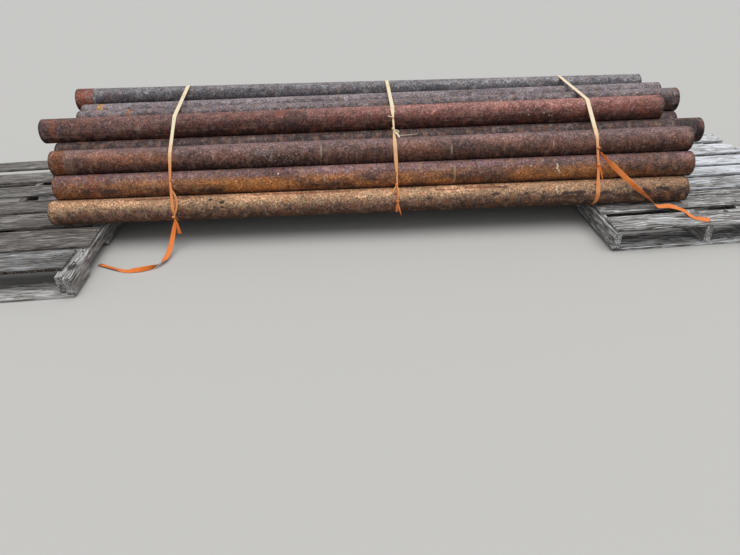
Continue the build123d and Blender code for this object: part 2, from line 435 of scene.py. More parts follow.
    def patches(self, graph: Graph, around: tuple[Socket, Socket], share: Socket, wide: Socket) -> Socket:
        """Blotches of the patch colour near one turn of the pipe.

        Args:
            graph: The finish's graph.
            around: How far the place is above the axis and in front of it.
            share: The share of the length from the left end.
            wide: The noise that breaks the blotches up.

        Returns:
            How much of the patch colour shows.
        """
        add = graph.add
        off = graph.chain(MATH, around[1], ("ARCTAN2", around[0]), ("MULTIPLY", 180 / math.pi),
                          ("ADD", -self.patch_turn), ("ABSOLUTE",))
        near = add("ShaderNodeMapRange", {"Value": off, "From Min": self.patch_spread,
                                          "From Max": self.patch_spread * self.patch_core})
        there = add("ShaderNodeValToRGB", {"Fac": share}, out="Color", stops=self.patch_along)
        patchy = add("ShaderNodeMapRange", {"Value": wide, "From Min": 0.36, "From Max": 0.55})
        return graph.chain(MATH, near, ("MULTIPLY", there), ("MULTIPLY", patchy),
                           ("MULTIPLY", self.patch_share))

    def ring(self, graph: Graph, band: Band, along: Socket, wave: Socket) -> Socket:
        """A ring of another colour round the pipe.

        Args:
            graph: The finish's graph.
            band: The ring.
            along: How far along the pipe the place is.
            wave: The noise that wavers the ring's edges.

        Returns:
            How much of the ring's colour shows.
        """
        half = (band.end - band.start) / 2
        edge = graph.chain(MATH, wave, ("MULTIPLY_ADD", self.band_waver, along),
                           ("ADD", -(band.start + half)), ("ABSOLUTE",))
        return graph.add("ShaderNodeMapRange", {"Value": edge, "From Min": half + self.band_edge,
                                                "From Max": half - self.band_edge, "To Max": band.strength})

    def lines(self, graph: Graph, here: Socket, blot: Socket, way: Point, shown: float) -> Socket:
        """Thin lines that are broken up by blotches.

        Args:
            graph: The finish's graph.
            here: The place on the pipe.
            blot: The noise that breaks them up.
            way: How fast the pattern changes along the pipe and across it.
            shown: How strongly they show.

        Returns:
            How much of their colour shows.
        """
        add = graph.add
        drawn = add("ShaderNodeMapping", {"Vector": here, "Scale": way})
        drawn = add("ShaderNodeTexNoise", {"Vector": drawn, "Scale": grains(9), "Detail": 1.0})
        drawn = add("ShaderNodeMapRange", {"Value": drawn, "From Min": 0.52, "From Max": 0.64})
        gate = add("ShaderNodeMapRange", {"Value": blot, "From Min": 0.44, "From Max": 0.58, "To Max": shown})
        return add(MATH, {0: drawn, 1: gate}, operation="MULTIPLY")


@dataclass(frozen=True)
class TimberSpot:
    """A knot, a chip or a stain in timber: its middle and half sizes in metres, and its colour."""

    middle: Vector
    halves: Point
    colour: str
    strength: float = 0.9


@dataclass(frozen=True)
class OldTimber(Finish):
    """Softwood pallet boards: sawn, left out for years, and weathered grey.

    The eye sees silvery ridges of late wood between dark hollows, checks along the grain, edges that
    are pale, partly from wear and partly as a painted highlight where the light catches them, brown
    where the rain doesn't reach, some bark, and a few knots.
    """

    hollow: str = "#2f2924"
    brown: str = "#5d554e"
    body: str = "#85817c"
    silver: str = "#b4b3b1"
    bleach: str = "#f2f3f5"
    cool: str = "#f2f8ff"
    crack: str = "#241e1a"
    bark: str = "#43382f"
    bark_scale: str = "#7a6f66"
    ridges: float = 2.5
    weather: float = 0.9
    # How much lighter the edges are: partly real wear and partly a painted highlight on the lit arrises
    worn_lit_edge: float = 0.3
    bend: float = 0.03
    relief: float = 0.003
    spots: tuple[TimberSpot, ...] = ()
    spot_ragged: float = 1.5
    spot_edge: tuple[float, float] = (1.2, 0.7)

    def paint(self, graph: Graph) -> Socket:
        """Paint a timber.

        Args:
            graph: The finish's graph.

        Returns:
            The shader.
        """
        add = graph.add
        grain = add("ShaderNodeAttribute", attribute_name="grain_coord", out="Vector")
        # How much lighter and bluer a timber is. Part of it is painted light: fill light on timbers whose
        # faces are in shade, and a bluish sheen of the sky on the rear deck boards
        tones = add("ShaderNodeAttribute", attribute_name="timber_tone", out="Vector")
        lighter, bluer, _ = add("ShaderNodeSeparateXYZ", {"Vector": tones}).node.outputs
        # The first value is a pale edge, partly real wear and partly a painted highlight on the lit arris;
        # the second is bark
        wear = add("ShaderNodeAttribute", attribute_name="timber_worn_lit_edge_and_bark", out="Vector")
        worn, barked, _ = add("ShaderNodeSeparateXYZ", {"Vector": wear}).node.outputs
        place = add("ShaderNodeTexCoord", out="Object")
        warp = add("ShaderNodeTexNoise", {"Vector": grain, "Scale": grains(160), "Detail": 2.0}, out="Color")
        bent = graph.chain(VECTOR_MATH, warp, ("SUBTRACT", (0.5, 0.5, 0.5)),
                           ("MULTIPLY", (0.0, self.bend, self.bend)), ("ADD", grain))
        # Growth rings are 2 to 4 mm apart. They are drawn at 6 mm so that the view shows them
        drawn = add("ShaderNodeMapping", {"Vector": bent, "Scale": (0.045, 1.0, 1.0)})
        rings = add("ShaderNodeTexNoise",
                    {"Vector": drawn, "Scale": grains(6), "Detail": 2.0, "Roughness": 0.6})
        drawn = add("ShaderNodeMapping", {"Vector": bent, "Scale": (0.14, 1.0, 1.0)})
        wide = add("ShaderNodeTexNoise",
                   {"Vector": drawn, "Scale": grains(50), "Detail": 5.0, "Roughness": 0.65})
        level: Value = 0.5 - (self.ridges + self.weather) / 2
        for source, amount in (
            (rings, self.ridges), (wide, self.weather), (lighter, 1.0), (worn, self.worn_lit_edge)
        ):
            level = add(MATH, {0: source, 1: amount, 2: level}, operation="MULTIPLY_ADD")
        colour = add("ShaderNodeValToRGB", {"Fac": level}, out="Color",
                     stops=((0.0, self.hollow), (1.0, self.bleach), (0.28, self.brown), (0.5, self.body),
                            (0.74, self.silver)))
        cool = add("ShaderNodeMix", {0: 1.0, 6: colour, 7: self.cool}, out=2, data_type="RGBA",
                   blend_type="MULTIPLY")
        checks = self.checks(graph, bent, wide)
        # Bluer where the tone says so, then the checks, the spots and the bark
        layers = [(bluer, cool), (checks, self.crack)]
        wave = add(MATH, {0: wide, 1: -0.5}, operation="ADD")
        for spot in self.spots:
            shown = graph.blotch(place, spot.middle, spot.halves, wave, self.spot_ragged, self.spot_edge,
                                 spot.strength)
            layers.append((shown, spot.colour))
        scales = add("ShaderNodeTexNoise", {"Vector": place, "Scale": grains(9), "Detail": 2.0})
        rough = add("ShaderNodeValToRGB", {"Fac": scales}, out="Color",
                    stops=((0.36, self.crack), (0.64, self.bark_scale), (0.48, self.bark)))
        colour = graph.cover(colour, layers + [(barked, rough)])
        height = add(MATH, {0: checks, 1: -1.0, 2: rings}, operation="MULTIPLY_ADD")
        bump = add("ShaderNodeBump", {"Height": height, "Strength": 0.8, "Distance": self.relief})
        return add("ShaderNodeBsdfPrincipled", {"Base Color": colour, "Roughness": 0.88, "Normal": bump})

    def checks(self, graph: Graph, bent: Socket, wide: Socket) -> Socket:
        """Splits along the grain, which the weather opens.

        Args:
            graph: The finish's graph.
            bent: The place in the bent grain.
            wide: The noise that says where the timber has split.

        Returns:
            How much of a split shows.
        """
        add = graph.add
        # Checks are under a millimetre wide. They are drawn wider so that the view shows them
        drawn = add("ShaderNodeMapping", {"Vector": bent, "Scale": (0.05, 1.0, 1.0)})
        drawn = add("ShaderNodeTexNoise", {"Vector": drawn, "Scale": grains(20), "Detail": 1.0})
        drawn = graph.chain(MATH, drawn, ("ADD", -0.5), ("ABSOLUTE",))
        drawn = add("ShaderNodeMapRange", {"Value": drawn, "From Min": 0.03, "From Max": 0.005})
        gate = add("ShaderNodeMapRange", {"Value": wide, "From Min": 0.54, "From Max": 0.44, "To Max": 0.85})
        return add(MATH, {0: drawn, 1: gate}, operation="MULTIPLY")


@dataclass(frozen=True)
class Webbing(Finish):
    """Polyester strap webbing, woven flat: saturated orange where new, pale cream on top, partly from the
    sun's bleaching and partly as a painted sheen of the sky.

    The eye sees a soft sheen, ribs across the strap, a bound edge, and paleness from the top, which is partly
    the sun's bleaching and partly a painted sheen of the sky on what faces up.
    """

    bleached_and_sheen: str = "#fff0ca"
    worn: str = "#ffb474"
    fresh: str = "#ff842c"
    shade: str = "#cc6620"
    rib: float = 0.00597
    dirty: float = 0.3
    relief: float = 0.0008

    def paint(self, graph: Graph) -> Socket:
        """Paint a strap.

        Args:
            graph: The finish's graph.

        Returns:
            The shader.
        """
        add = graph.add
        weave = add("ShaderNodeAttribute", attribute_name="weave_coord", out="Vector")
        fade = add("ShaderNodeAttribute", attribute_name="fade", out="Fac")
        place = add("ShaderNodeTexCoord", out="Object")
        dirt = add("ShaderNodeTexNoise", {"Vector": place, "Scale": grains(25), "Detail": 4.0})
        fade = graph.chain(MATH, dirt, ("ADD", -0.5), ("MULTIPLY_ADD", self.dirty, fade))
        # Painted sheen: the pale stops stand partly for the sun's bleaching and partly for the sky's sheen on
        # the parts that face up
        colour = add("ShaderNodeValToRGB", {"Fac": fade}, out="Color",
                     stops=((0.08, self.fresh), (0.95, self.bleached_and_sheen), (0.5, self.worn)))
        # Ribs are 1.2 mm apart on real webbing. They are drawn at 6 mm so that the view shows them. The wave
        # turns by 20 radians in one unit of Scale
        ribs = add("ShaderNodeTexWave", bands_direction="Y",
                   inputs={"Vector": weave, "Scale": 2 * math.pi / 20 / self.rib, "Distortion": 0.4})
        cut = add("ShaderNodeSeparateXYZ", {"Vector": weave}, out="X")
        edge = add(MATH, {0: cut}, operation="ABSOLUTE")
        layers = []
        for source, low, high, shown, tint in (
            (edge, 0.0085, 0.011, 0.35, self.worn),
            (dirt, 0.42, 0.3, 0.4, self.shade),
            (ribs, 0.35, 0.0, 0.22, self.shade),
        ):
            spots = add("ShaderNodeMapRange",
                        {"Value": source, "From Min": low, "From Max": high, "To Max": shown})
            layers.append((spots, tint))
        bump = add("ShaderNodeBump", {"Height": ribs, "Strength": 0.4, "Distance": self.relief})
        return add("ShaderNodeBsdfPrincipled", {"Base Color": graph.cover(colour, layers), "Roughness": 0.62,
                                                "Sheen Weight": 0.15, "Normal": bump})


@dataclass(frozen=True)
class NailSteel(Finish):
    """Wire nails: cold headed steel that has rusted to a dark, dull brown."""

    dark: str = "#2e2422"
    light: str = "#5e4334"

    def paint(self, graph: Graph) -> Socket:
        """Paint the nail heads.

        Args:
            graph: The finish's graph.

        Returns:
            The shader.
        """
        add = graph.add
        place = add("ShaderNodeTexCoord", out="Object")
        rust = add("ShaderNodeTexNoise", {"Vector": place, "Scale": grains(3), "Detail": 2.0})
        colour = add("ShaderNodeValToRGB", {"Fac": rust}, out="Color",
                     stops=((0.35, self.dark), (0.65, self.light)))
        return add("ShaderNodeBsdfPrincipled", {"Base Color": colour, "Roughness": 0.7, "Metallic": 0.2})


@dataclass(frozen=True)
class PaleFloor(Finish):
    """A studio floor of smooth, matt, pale grey paint, which throws back less light than the eye sees."""

    seen: str = "#c9c7c2"
    thrown: str = "#77726a"

    def paint(self, graph: Graph) -> Socket:
        """Paint the floor.

        Args:
            graph: The finish's graph.

        Returns:
            The shader.
        """
        add = graph.add
        direct = add("ShaderNodeLightPath", out="Is Camera Ray")
        colour = add("ShaderNodeMix", {0: direct, 6: self.thrown, 7: self.seen}, out=2, data_type="RGBA")
        return add("ShaderNodeBsdfPrincipled", {"Base Color": colour, "Roughness": 0.9})


@dataclass
class StackFrame:
    """Places measured from the middle of the front bottom pipe's axis, seen from above, in millimetres."""

    shift: Vector

    @classmethod
    def from_frame(cls) -> StackFrame:
        """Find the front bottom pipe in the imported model."""
        low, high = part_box("bottom_row_pipe_1")
        return cls(Vector(((low[0] + high[0]) / 2, (low[1] + high[1]) / 2, 0)))

    def at(self, x: float, y: float, z: float) -> Vector:
        """A place in the model's frame, in metres."""
        return Vector((x, y, z)) * MM + self.shift


def new_object(name: str, mesh: bpy.types.Mesh, material: bpy.types.Material) -> bpy.types.Object:
    """Put a mesh in the scene as one object with one material.

    Args:
        name: The object's name.
        mesh: The mesh.
        material: The material.

    Returns:
        The object.
    """
    made = bpy.data.objects.new(name, mesh)
    mesh.materials.clear()
    mesh.materials.append(material)
    bpy.context.scene.collection.objects.link(made)
    return made


def dress(piece: bpy.types.Object, slot: str, node: str = "") -> None:
    """Let a piece ride on the part, and report it.

    Args:
        piece: The piece.
        slot: The record's material slot; not used.
        node: The CAD node whose place it takes, if any.
    """
    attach(piece, BODY)
    if node:
        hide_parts(node)
    LOG.info("%s: %d faces", piece.name, len(piece.data.polygons))


def slots_of(frame: dict) -> dict[str, str]:
    """The record's material slot of each node."""
    return {part["node"]: part["material_slot"] for part in frame["record"]["subparts"]}


def unique_points(source: bpy.types.Object) -> list[Vector]:
    """A CAD node's corners, each once."""
    seen = {tuple(round(c, 5) for c in vertex.co) for vertex in source.data.vertices}
    return [Vector(p) for p in sorted(seen)]


def keep(mesh: bpy.types.Mesh, name: str, values: list[Vector] | list[float]) -> None:
    """Keep a vector or a number on each point of a mesh, for a finish or a tree to read.

    Args:
        mesh: The mesh.
        name: The attribute's name.
        values: One vector or number for each point.
    """
    if isinstance(values[0], Vector):
        kept = mesh.attributes.new(name, "FLOAT_VECTOR", "POINT")
        kept.data.foreach_set("vector", [c for value in values for c in value])
    else:
        kept = mesh.attributes.new(name, "FLOAT", "POINT")
        kept.data.foreach_set("value", values)


def start_tree(name: str, inputs: dict[str, str]) -> tuple[Graph, bpy.types.bpy_prop_collection]:
    """Start a geometry tree, with a geometry at both ends.

    Args:
        name: The tree's name.
        inputs: The kind of each further input, by name.

    Returns:
        The tree's graph, and its inputs as the nodes see them.
    """
    tree = bpy.data.node_groups.new(name, "GeometryNodeTree")
    for way, kinds in (("INPUT", {"Geometry": "Geometry"} | inputs), ("OUTPUT", {"Geometry": "Geometry"})):
        for label, kind in kinds.items():
            tree.interface.new_socket(label, in_out=way, socket_type=f"NodeSocket{kind}")
    graph = Graph(tree)
    return graph, graph.add("NodeGroupInput").node.outputs


def end_tree(graph: Graph, mesh: Socket, material: Socket) -> bpy.types.NodeTree:
    """End a geometry tree in real faces with a material.

    Args:
        graph: The tree's graph.
        mesh: The geometry so far.
        material: The tree's material input.

    Returns:
        The tree.
    """
    mesh = graph.add("GeometryNodeRealizeInstances", {"Geometry": mesh})
    mesh = graph.add("GeometryNodeSetMaterial", {"Geometry": mesh, "Material": material})
    graph.add("NodeGroupOutput", {"Geometry": mesh})
    return graph.tree


def tube_grid(graph: Graph, rings: Value, sides: int) -> tuple[Socket, Socket, Socket, Socket]:
    """A flat grid that is to be bent into a tube, one row to each ring.

    Args:
        graph: The tree's graph.
        rings: How many rings there are.
        sides: How many sides a ring has.

    Returns:
        The grid, each point's ring number, and the cosine and sine of its turn.
    """
    grid = graph.add("GeometryNodeMeshGrid", {"Vertices X": rings, "Vertices Y": sides + 1})
    index = graph.add("GeometryNodeInputIndex")
    ring = graph.chain(MATH, index, ("DIVIDE", float(sides + 1)), ("FLOOR",))
    turn = graph.chain(MATH, index, ("MODULO", float(sides + 1)), ("MULTIPLY", 2 * math.pi / sides))
    cosine, sine = (graph.add(MATH, {0: turn}, operation=kind) for kind in ("COSINE", "SINE"))
    return grid, ring, cosine, sine


def tube_mesh(
    graph: Graph, grid: Socket, places: tuple[Socket, ...], coord: tuple[str, Socket],
    other: tuple[str, Socket]
) -> Socket:
    """Bend a grid into a closed, smooth tube that carries what its finish reads.

    Args:
        graph: The tree's graph.
        grid: The grid.
        places: Vectors whose sum is each point's place.
        coord: The name and value of the pattern's place on the tube.
        other: The name and value of a number for the finish.

    Returns:
        The tube.
    """
    spot = graph.chain(VECTOR_MATH, places[0], *(("ADD", place) for place in places[1:]))
    mesh = graph.add("GeometryNodeSetPosition", {"Geometry": grid, "Position": spot})
    for (name, value), kind in ((coord, "FLOAT_VECTOR"), (other, "FLOAT")):
        mesh = graph.add("GeometryNodeStoreNamedAttribute", {"Geometry": mesh, "Name": name, "Value": value},
                         data_type=kind, domain="POINT")
    mesh = graph.add("GeometryNodeMergeByDistance", {"Geometry": mesh, "Distance": SAME_POINT})
    return graph.add("GeometryNodeSetShadeSmooth", {"Geometry": mesh, "Shade Smooth": True}, domain="FACE")


def use_tree(
    piece: bpy.types.Object, tree: bpy.types.NodeTree, values: dict[str, Value], material: bpy.types.Material
) -> None:
    """Run a geometry tree on an object and leave it the result as a plain mesh, with no modifier.

    Args:
        piece: The object.
        tree: The geometry tree.
        values: A value for each of the tree's inputs, by name.
        material: The material of the result.
    """
    modifier = piece.modifiers.new("tree", "NODES")
    modifier.node_group = tree
    for item in tree.interface.items_tree:
        if item.item_type == "SOCKET" and item.in_out == "INPUT" and item.name != "Geometry":
            modifier[item.identifier] = material if item.name == "Material" else values[item.name]
    piece.update_tag()
    ready = piece.evaluated_get(bpy.context.evaluated_depsgraph_get())
    mesh = bpy.data.meshes.new_from_object(ready)
    piece.modifiers.remove(modifier)
    piece.data = mesh
    mesh.materials.clear()
    mesh.materials.append(material)


@dataclass
class PipeTree:
    """The geometry tree of one open pipe: rings of points along its outside and back along its bore.

    An edge is crisp where its faces turn by more than crisp, in radians. The pits are about 114 mm long
    and 28 mm wide.
    """

    outer_steps: int = 130
    inner_steps: int = 24
    sides: int = 40
    crisp: float = 0.7
    pit_scale: float = 1.6
    pit_stretch: Point = (18.0, 1.4, 1.4)

    def build(self) -> bpy.types.NodeTree:
        """Make the tree.

        Returns:
            A tree with the inputs Start, End, Outer Radius, Wall, Pitting and Material.
        """
        graph, given = start_tree("rusted_pipe", {
            "Start": "Vector", "End": "Vector", "Outer Radius": "Float", "Wall": "Float", "Pitting": "Float",
            "Material": "Material",
        })
        add = graph.add
        # Rings run along the outside, back along the bore, and the last one is the first again
        rings = self.outer_steps + self.inner_steps + 3
        grid, ring, cosine, sine = tube_grid(graph, rings, self.sides)
        after, last = (add(MATH, {0: ring, 1: place - 0.5}, operation="GREATER_THAN")
                       for place in (self.outer_steps + 1, rings - 1))
        inside = add(MATH, {0: after, 1: last}, operation="SUBTRACT")
        share = self.share(graph, ring, after)
        line = add(VECTOR_MATH, {0: given["End"], 1: given["Start"]}, operation="SUBTRACT")
        length = add(VECTOR_MATH, {0: line}, operation="LENGTH", out="Value")
        way = add(VECTOR_MATH, {0: line}, operation="NORMALIZE")
        front = graph.chain(VECTOR_MATH, way, ("CROSS_PRODUCT", (0, 0, 1)), ("NORMALIZE",))
        upward = add(VECTOR_MATH, {0: front, 1: way}, operation="CROSS_PRODUCT")
        radius = self.radius(graph, given, inside, (share, cosine, sine))
        rise = add(MATH, {0: radius, 1: cosine}, operation="MULTIPLY")
        out = add(MATH, {0: radius, 1: sine}, operation="MULTIPLY")
        parts = [add(VECTOR_MATH, {0: axis, "Scale": far}, operation="SCALE")
                 for axis, far in ((line, share), (upward, rise), (front, out))]
        along = add(MATH, {0: share, 1: length}, operation="MULTIPLY")
        coord = add("ShaderNodeCombineXYZ", {0: along, 1: rise, 2: out})
        mesh = tube_mesh(graph, grid, (*parts, given["Start"]), ("pipe_coord", coord), ("bore", inside))
        edge = add("GeometryNodeInputMeshEdgeAngle")
        crisp = add(MATH, {0: edge, 1: self.crisp}, operation="GREATER_THAN")
        mesh = add("GeometryNodeSetShadeSmooth",
                   {"Geometry": mesh, "Selection": crisp, "Shade Smooth": False}, domain="EDGE")
        return end_tree(graph, mesh, given["Material"])

    def share(self, graph: Graph, ring: Socket, after: Socket) -> Socket:
        """How far along the pipe each ring stands.

        Args:
            graph: The tree's graph.
            ring: The ring's number.
            after: Whether it comes after the outside's rings.

        Returns:
            The share of the length from the start.
        """
        going = graph.add(MATH, {0: ring, 1: 1 / self.outer_steps}, operation="MULTIPLY")
        back = 1 + (self.outer_steps + 1) / self.inner_steps
        coming = graph.add(MATH, {0: ring, 1: -1 / self.inner_steps, 2: back},
                           operation="MULTIPLY_ADD")
        share = graph.add("ShaderNodeMix", {0: after, 2: going, 3: coming}, data_type="FLOAT")
        return graph.add(MATH, {0: share, 1: 0.0}, operation="MAXIMUM")

    def radius(
        self, graph: Graph, given: bpy.types.bpy_prop_collection, inside: Socket,
        place: tuple[Socket, Socket, Socket]
    ) -> Socket:
        """How far each point is from the pipe's axis.

        Args:
            graph: The tree's graph.
            given: The tree's inputs.
            inside: Whether the point is in the bore.
            place: The share of the length, and the cosine and sine of the turn.

        Returns:
            The bore's radius, or the outside's with its pits.
        """
        add = graph.add
        # Rust lifts off in flakes, so shallow pits go into the outside and never out of it
        spot = add("ShaderNodeCombineXYZ", dict(enumerate(place)))
        spot = graph.chain(VECTOR_MATH, spot, ("MULTIPLY", self.pit_stretch), ("ADD", given["Start"]))
        pits = add("ShaderNodeTexNoise", {"Vector": spot, "Scale": self.pit_scale, "Detail": 5.0})
        pits = add("ShaderNodeMapRange", {"Value": pits, "From Min": 0.5, "From Max": 0.75})
        pits = add(MATH, {0: pits, 1: given["Pitting"]}, operation="MULTIPLY")
        skin, bore = (add(MATH, {0: given["Outer Radius"], 1: less}, operation="SUBTRACT")
                      for less in (pits, given["Wall"]))
        return add("ShaderNodeMix", {0: inside, 2: skin, 3: bore}, data_type="FLOAT")


@dataclass
class PipeStack:
    """All the pipes, each in the place of its CAD node, with the rust that the photograph shows on it."""

    finishes: dict[str, Rust]
    plain: tuple[Rust, ...]
    pitting: float = 0.0007

    def ends(self, source: bpy.types.Object) -> tuple[Vector, Vector]:
        """The middles of a pipe's left and right ends.

        Args:
            source: The pipe's CAD node.

        Returns:
            Both middles.
        """
        points = unique_points(source)
        middle = sum(p.x for p in points) / len(points)
        left = [p for p in points if p.x < middle]
        right = [p for p in points if p.x >= middle]
        return (sum(left, Vector()) / len(left), sum(right, Vector()) / len(right))

    def build(self, frame: dict) -> Axes:
        """Build and dress every pipe.


        Returns:
            The two ends of each pipe's axis, by node.
        """
        tree = PipeTree().build()
        slots = slots_of(frame)
        materials: dict[str, bpy.types.Material] = {}
        axes = {}
        for i, name in enumerate(sorted(n for n in frame["nodes"] if "_pipe" in n)):
            finish = self.finishes.get(name, self.plain[i % len(self.plain)])
            if finish.name not in materials:
                materials[finish.name] = finish.material()
            start, end = axes[name] = self.ends(frame["nodes"][name])
            piece = new_object(f"{name}_rusted", bpy.data.meshes.new(name), materials[finish.name])
            values = {"Start": start, "End": end, "Outer Radius": PIPE_RADIUS, "Wall": PIPE_WALL,
                      "Pitting": self.pitting}
            use_tree(piece, tree, values, materials[finish.name])
            dress(piece, slots[name], name)
        return axes


@dataclass
class NailTree:
    """The geometry tree that sets a round nail head on every point."""

    sides: int = 10

    def build(self) -> bpy.types.NodeTree:
        """Make the tree.

        Returns:
            A tree with the inputs Head Radius, Head Height and Material.
        """
        graph, given = start_tree("nail_heads", {"Head Radius": "Float", "Head Height": "Float",
                                                 "Material": "Material"})
        head = graph.add("GeometryNodeMeshCylinder", {"Vertices": self.sides, "Radius": given["Head Radius"],
                                                      "Depth": given["Head Height"]})
        points = graph.add("GeometryNodeMeshToPoints", {"Mesh": given["Geometry"]})
        heads = graph.add("GeometryNodeInstanceOnPoints", {"Points": points, "Instance": head})
        return end_tree(graph, heads, given["Material"])


def stations(length: float, step: float, edge: float) -> list[float]:
    """Places along a length: close to both ends, then evenly between.

    Args:
        length: The length.
        step: About how far apart the places are.
        edge: How far the first and last of them stand from the ends.

    Returns:
        The places, with both ends.
    """
    count = max(2, round((length - 2 * edge) / step))
    return [0.0] + [edge + (length - 2 * edge) * i / count for i in range(count + 1)] + [length]


@dataclass
class Timber:
    """One timber's block in its pallet's own frame: its node, lowest and highest corners and grain.

    number makes it differ from its neighbours, whose grain lies shift away, and barked says whether
    bark is left on its front edge.
    """

    node: str
    low: Vector
    high: Vector
    grain: Grain
    number: int
    barked: bool
    shift: tuple[float, float] = (2.7, 0.37)

    def coord(self, offset: Vector) -> Vector:
        """Where a point lies in the wood's own pattern, from how far it is from the lowest corner."""
        along, across = (offset[axis] + self.number * by for axis, by in zip(self.grain.value, self.shift))
        return Vector((along, across, offset.z))


@dataclass
class Pallet:
    """One timber pallet: its boards and stringers, turned a little on the ground. Sizes are in metres.

    tones holds how much lighter and how much bluer a timber is than the finish, by its name's end.
    bark_board is the board that has bark left on its front edge. edge is how far a face's outermost
    line of points stands from its rim, arris how far the rim is worn down, wane how far a long side
    wavers, end_wear how ragged an end is, cup how uneven a face is, and bark_depth how deep the bark
    is flaked. A name that ends in bumps holds how many of them there are in a metre, along and across.
    """

    name: str
    slot: str
    turn: float
    finish: OldTimber
    seed: int
    step: float = 0.03
    cross_step: float = 0.018
    edge: float = 0.003
    arris: float = 0.0022
    wane: float = 0.003
    wane_bumps: float = 5
    end_wear: float = 0.005
    end_bumps: tuple[float, float] = (45, 30)
    cup: float = 0.0008
    cup_bumps: tuple[float, float] = (3, 18)
    flat_angle: float = 0.02
    sharp_angle: float = 0.6
    notched: bool = False
    tones: dict[str, tuple[float, float]] = field(default_factory=dict)
    bark_board: str = ""
    bark_step: float = 0.008
    bark_depth: float = 0.007
    bark_bumps: tuple[float, float] = (70, 110)
    nail_shares: tuple[float, ...] = (0.24, 0.76)
    nail_scatter: tuple[float, float] = (0.008, 0.01)
    nail_radius: float = 0.0045
    nail_height: float = 0.0022
    nail_sink: float = 0.0008

    def build(self, frame: dict) -> None:
        """Build and dress every timber of the pallet, and its nails.
        """
        slots = slots_of(frame)
        material = self.finish.material()
        turned = Matrix.Rotation(math.radians(self.turn), 4, "Z")
        timbers = []
        for i, name in enumerate(sorted(n for n in frame["nodes"] if n.startswith(self.name))):
            source = frame["nodes"][name]
            local = [turned.inverted() @ p for p in unique_points(source)]
            low, high = (Vector([choose(p[k] for p in local) for k in range(3)]) for choose in (min, max))
            grain = Grain.ACROSS if "board" in name else Grain.DEEP
            timber = Timber(name, low, high, grain, i, name == self.bark_board)
            timbers.append(timber)
            if self.notched and grain is Grain.DEEP:
                mesh = self.notched_mesh(timber, source, turned)
            else:
                mesh = self.worn_mesh(timber)
            tone = self.tones.get(name.removeprefix(f"{self.name}_"), (0.0, 0.0))
            keep(mesh, "timber_tone", [Vector((*tone, 0.0))] * len(mesh.vertices))
            mesh.transform(turned)
            dress(new_object(f"{name}_weathered", mesh, material), slots[name], name)
        self.nails(timbers, turned)

    def worn_mesh(self, timber: Timber) -> bpy.types.Mesh:
        """A sawn timber with softened edges, waney sides and split ends, in the pallet's own frame.

        Args:
            timber: The timber.

        Returns:
            The mesh, with the attributes that the timber finish reads.
        """
        main, side = timber.grain.value
        size = timber.high - timber.low
        steps = [self.cross_step] * 3
        steps[main] = self.bark_step if timber.barked else self.step
        steps[2] = self.bark_step / 2 if timber.barked else self.cross_step
        lines = [stations(size[k], steps[k], self.edge) for k in range(3)]
        last = [len(line) - 1 for line in lines]
        index: dict[tuple[int, ...], int] = {}
        points: list[Vector] = []
        coords: list[Vector] = []
        worn_lit_edges_and_bark: list[Vector] = []
        for key in product(*(range(end + 1) for end in last)):
            rims = [axis for axis in range(3) if key[axis] in (0, last[axis])]
            if not rims:
                continue
            offset = Vector([line[at] for line, at in zip(lines, key)])
            moved = offset.copy()
            for axis in rims:
                inward = 1 if key[axis] == 0 else -1
                moved[axis] += inward * self.worn_by(timber, axis, inward, offset, len(rims) > 1)
            index[key] = len(points)
            points.append(timber.low + moved)
            coords.append(timber.coord(offset))
            # Edges are marked pale, partly for real wear and partly as a painted highlight on the lit arris
            bark = timber.barked and key[side] == 0
            worn_lit_edges_and_bark.append(Vector((float(len(rims) > 1 and not bark), float(bark), 0.0)))
        mesh = bpy.data.meshes.new(timber.node)
        mesh.from_pydata(points, [], self.faces(index, last))
        return self.finished(mesh, coords, worn_lit_edges_and_bark)

    def worn_by(self, timber: Timber, axis: int, inward: int, offset: Vector, corner: bool) -> float:
        """How far the weather has taken a point in from one face.

        Args:
            timber: The timber.
            axis: The axis that the face is square to.
            inward: 1 for the face at the low end of the axis, and -1 for the other.
            offset: Where the point was sawn, from the lowest corner.
            corner: Whether the point is on an edge.

        Returns:
            The distance in metres.
        """
        main, side = timber.grain.value
        along, across, tall = offset[main], offset[side], offset.z
        seed = self.seed * 7.3 + timber.number * 3.1

        def bumps(first: float, second: float, counts: tuple[float, float]) -> float:
            """How high the noise is at two distances, from -1 to 1."""
            return noise.noise(Vector((first * counts[0], second * counts[1], seed)))

        wear = self.arris if corner else 0.0
        if axis == main:
            return wear + self.end_wear * max(0.0, bumps(across, tall, self.end_bumps))
        if axis != side:
            return wear + self.cup * (0.5 + 0.5 * bumps(along, across, self.cup_bumps))
        wavy = noise.noise(Vector((along * self.wane_bumps, seed, inward * 4.0)))
        wear += self.wane * max(0.0, wavy + 0.1)
        if timber.barked and inward > 0:
            wear += self.bark_depth * (0.5 + 0.5 * bumps(along, tall, self.bark_bumps))
        return wear

    @staticmethod
    def faces(index: dict[tuple[int, ...], int], last: list[int]) -> list[list[int]]:
        """The faces of a block of points.

        Args:
            index: Each point's number, by its place in the block's rows.
            last: The last row along each axis.

        Returns:
            The four points of each face.
        """
        faces = []
        for axis in range(3):
            u, v = [a for a in range(3) if a != axis]
            for at, a, b in product((0, last[axis]), range(last[u]), range(last[v])):
                quad = []
                for da, db in ((0, 0), (1, 0), (1, 1), (0, 1)):
                    key = [0, 0, 0]
                    key[axis], key[u], key[v] = at, a + da, b + db
                    quad.append(index[tuple(key)])
                faces.append(quad)
        return faces

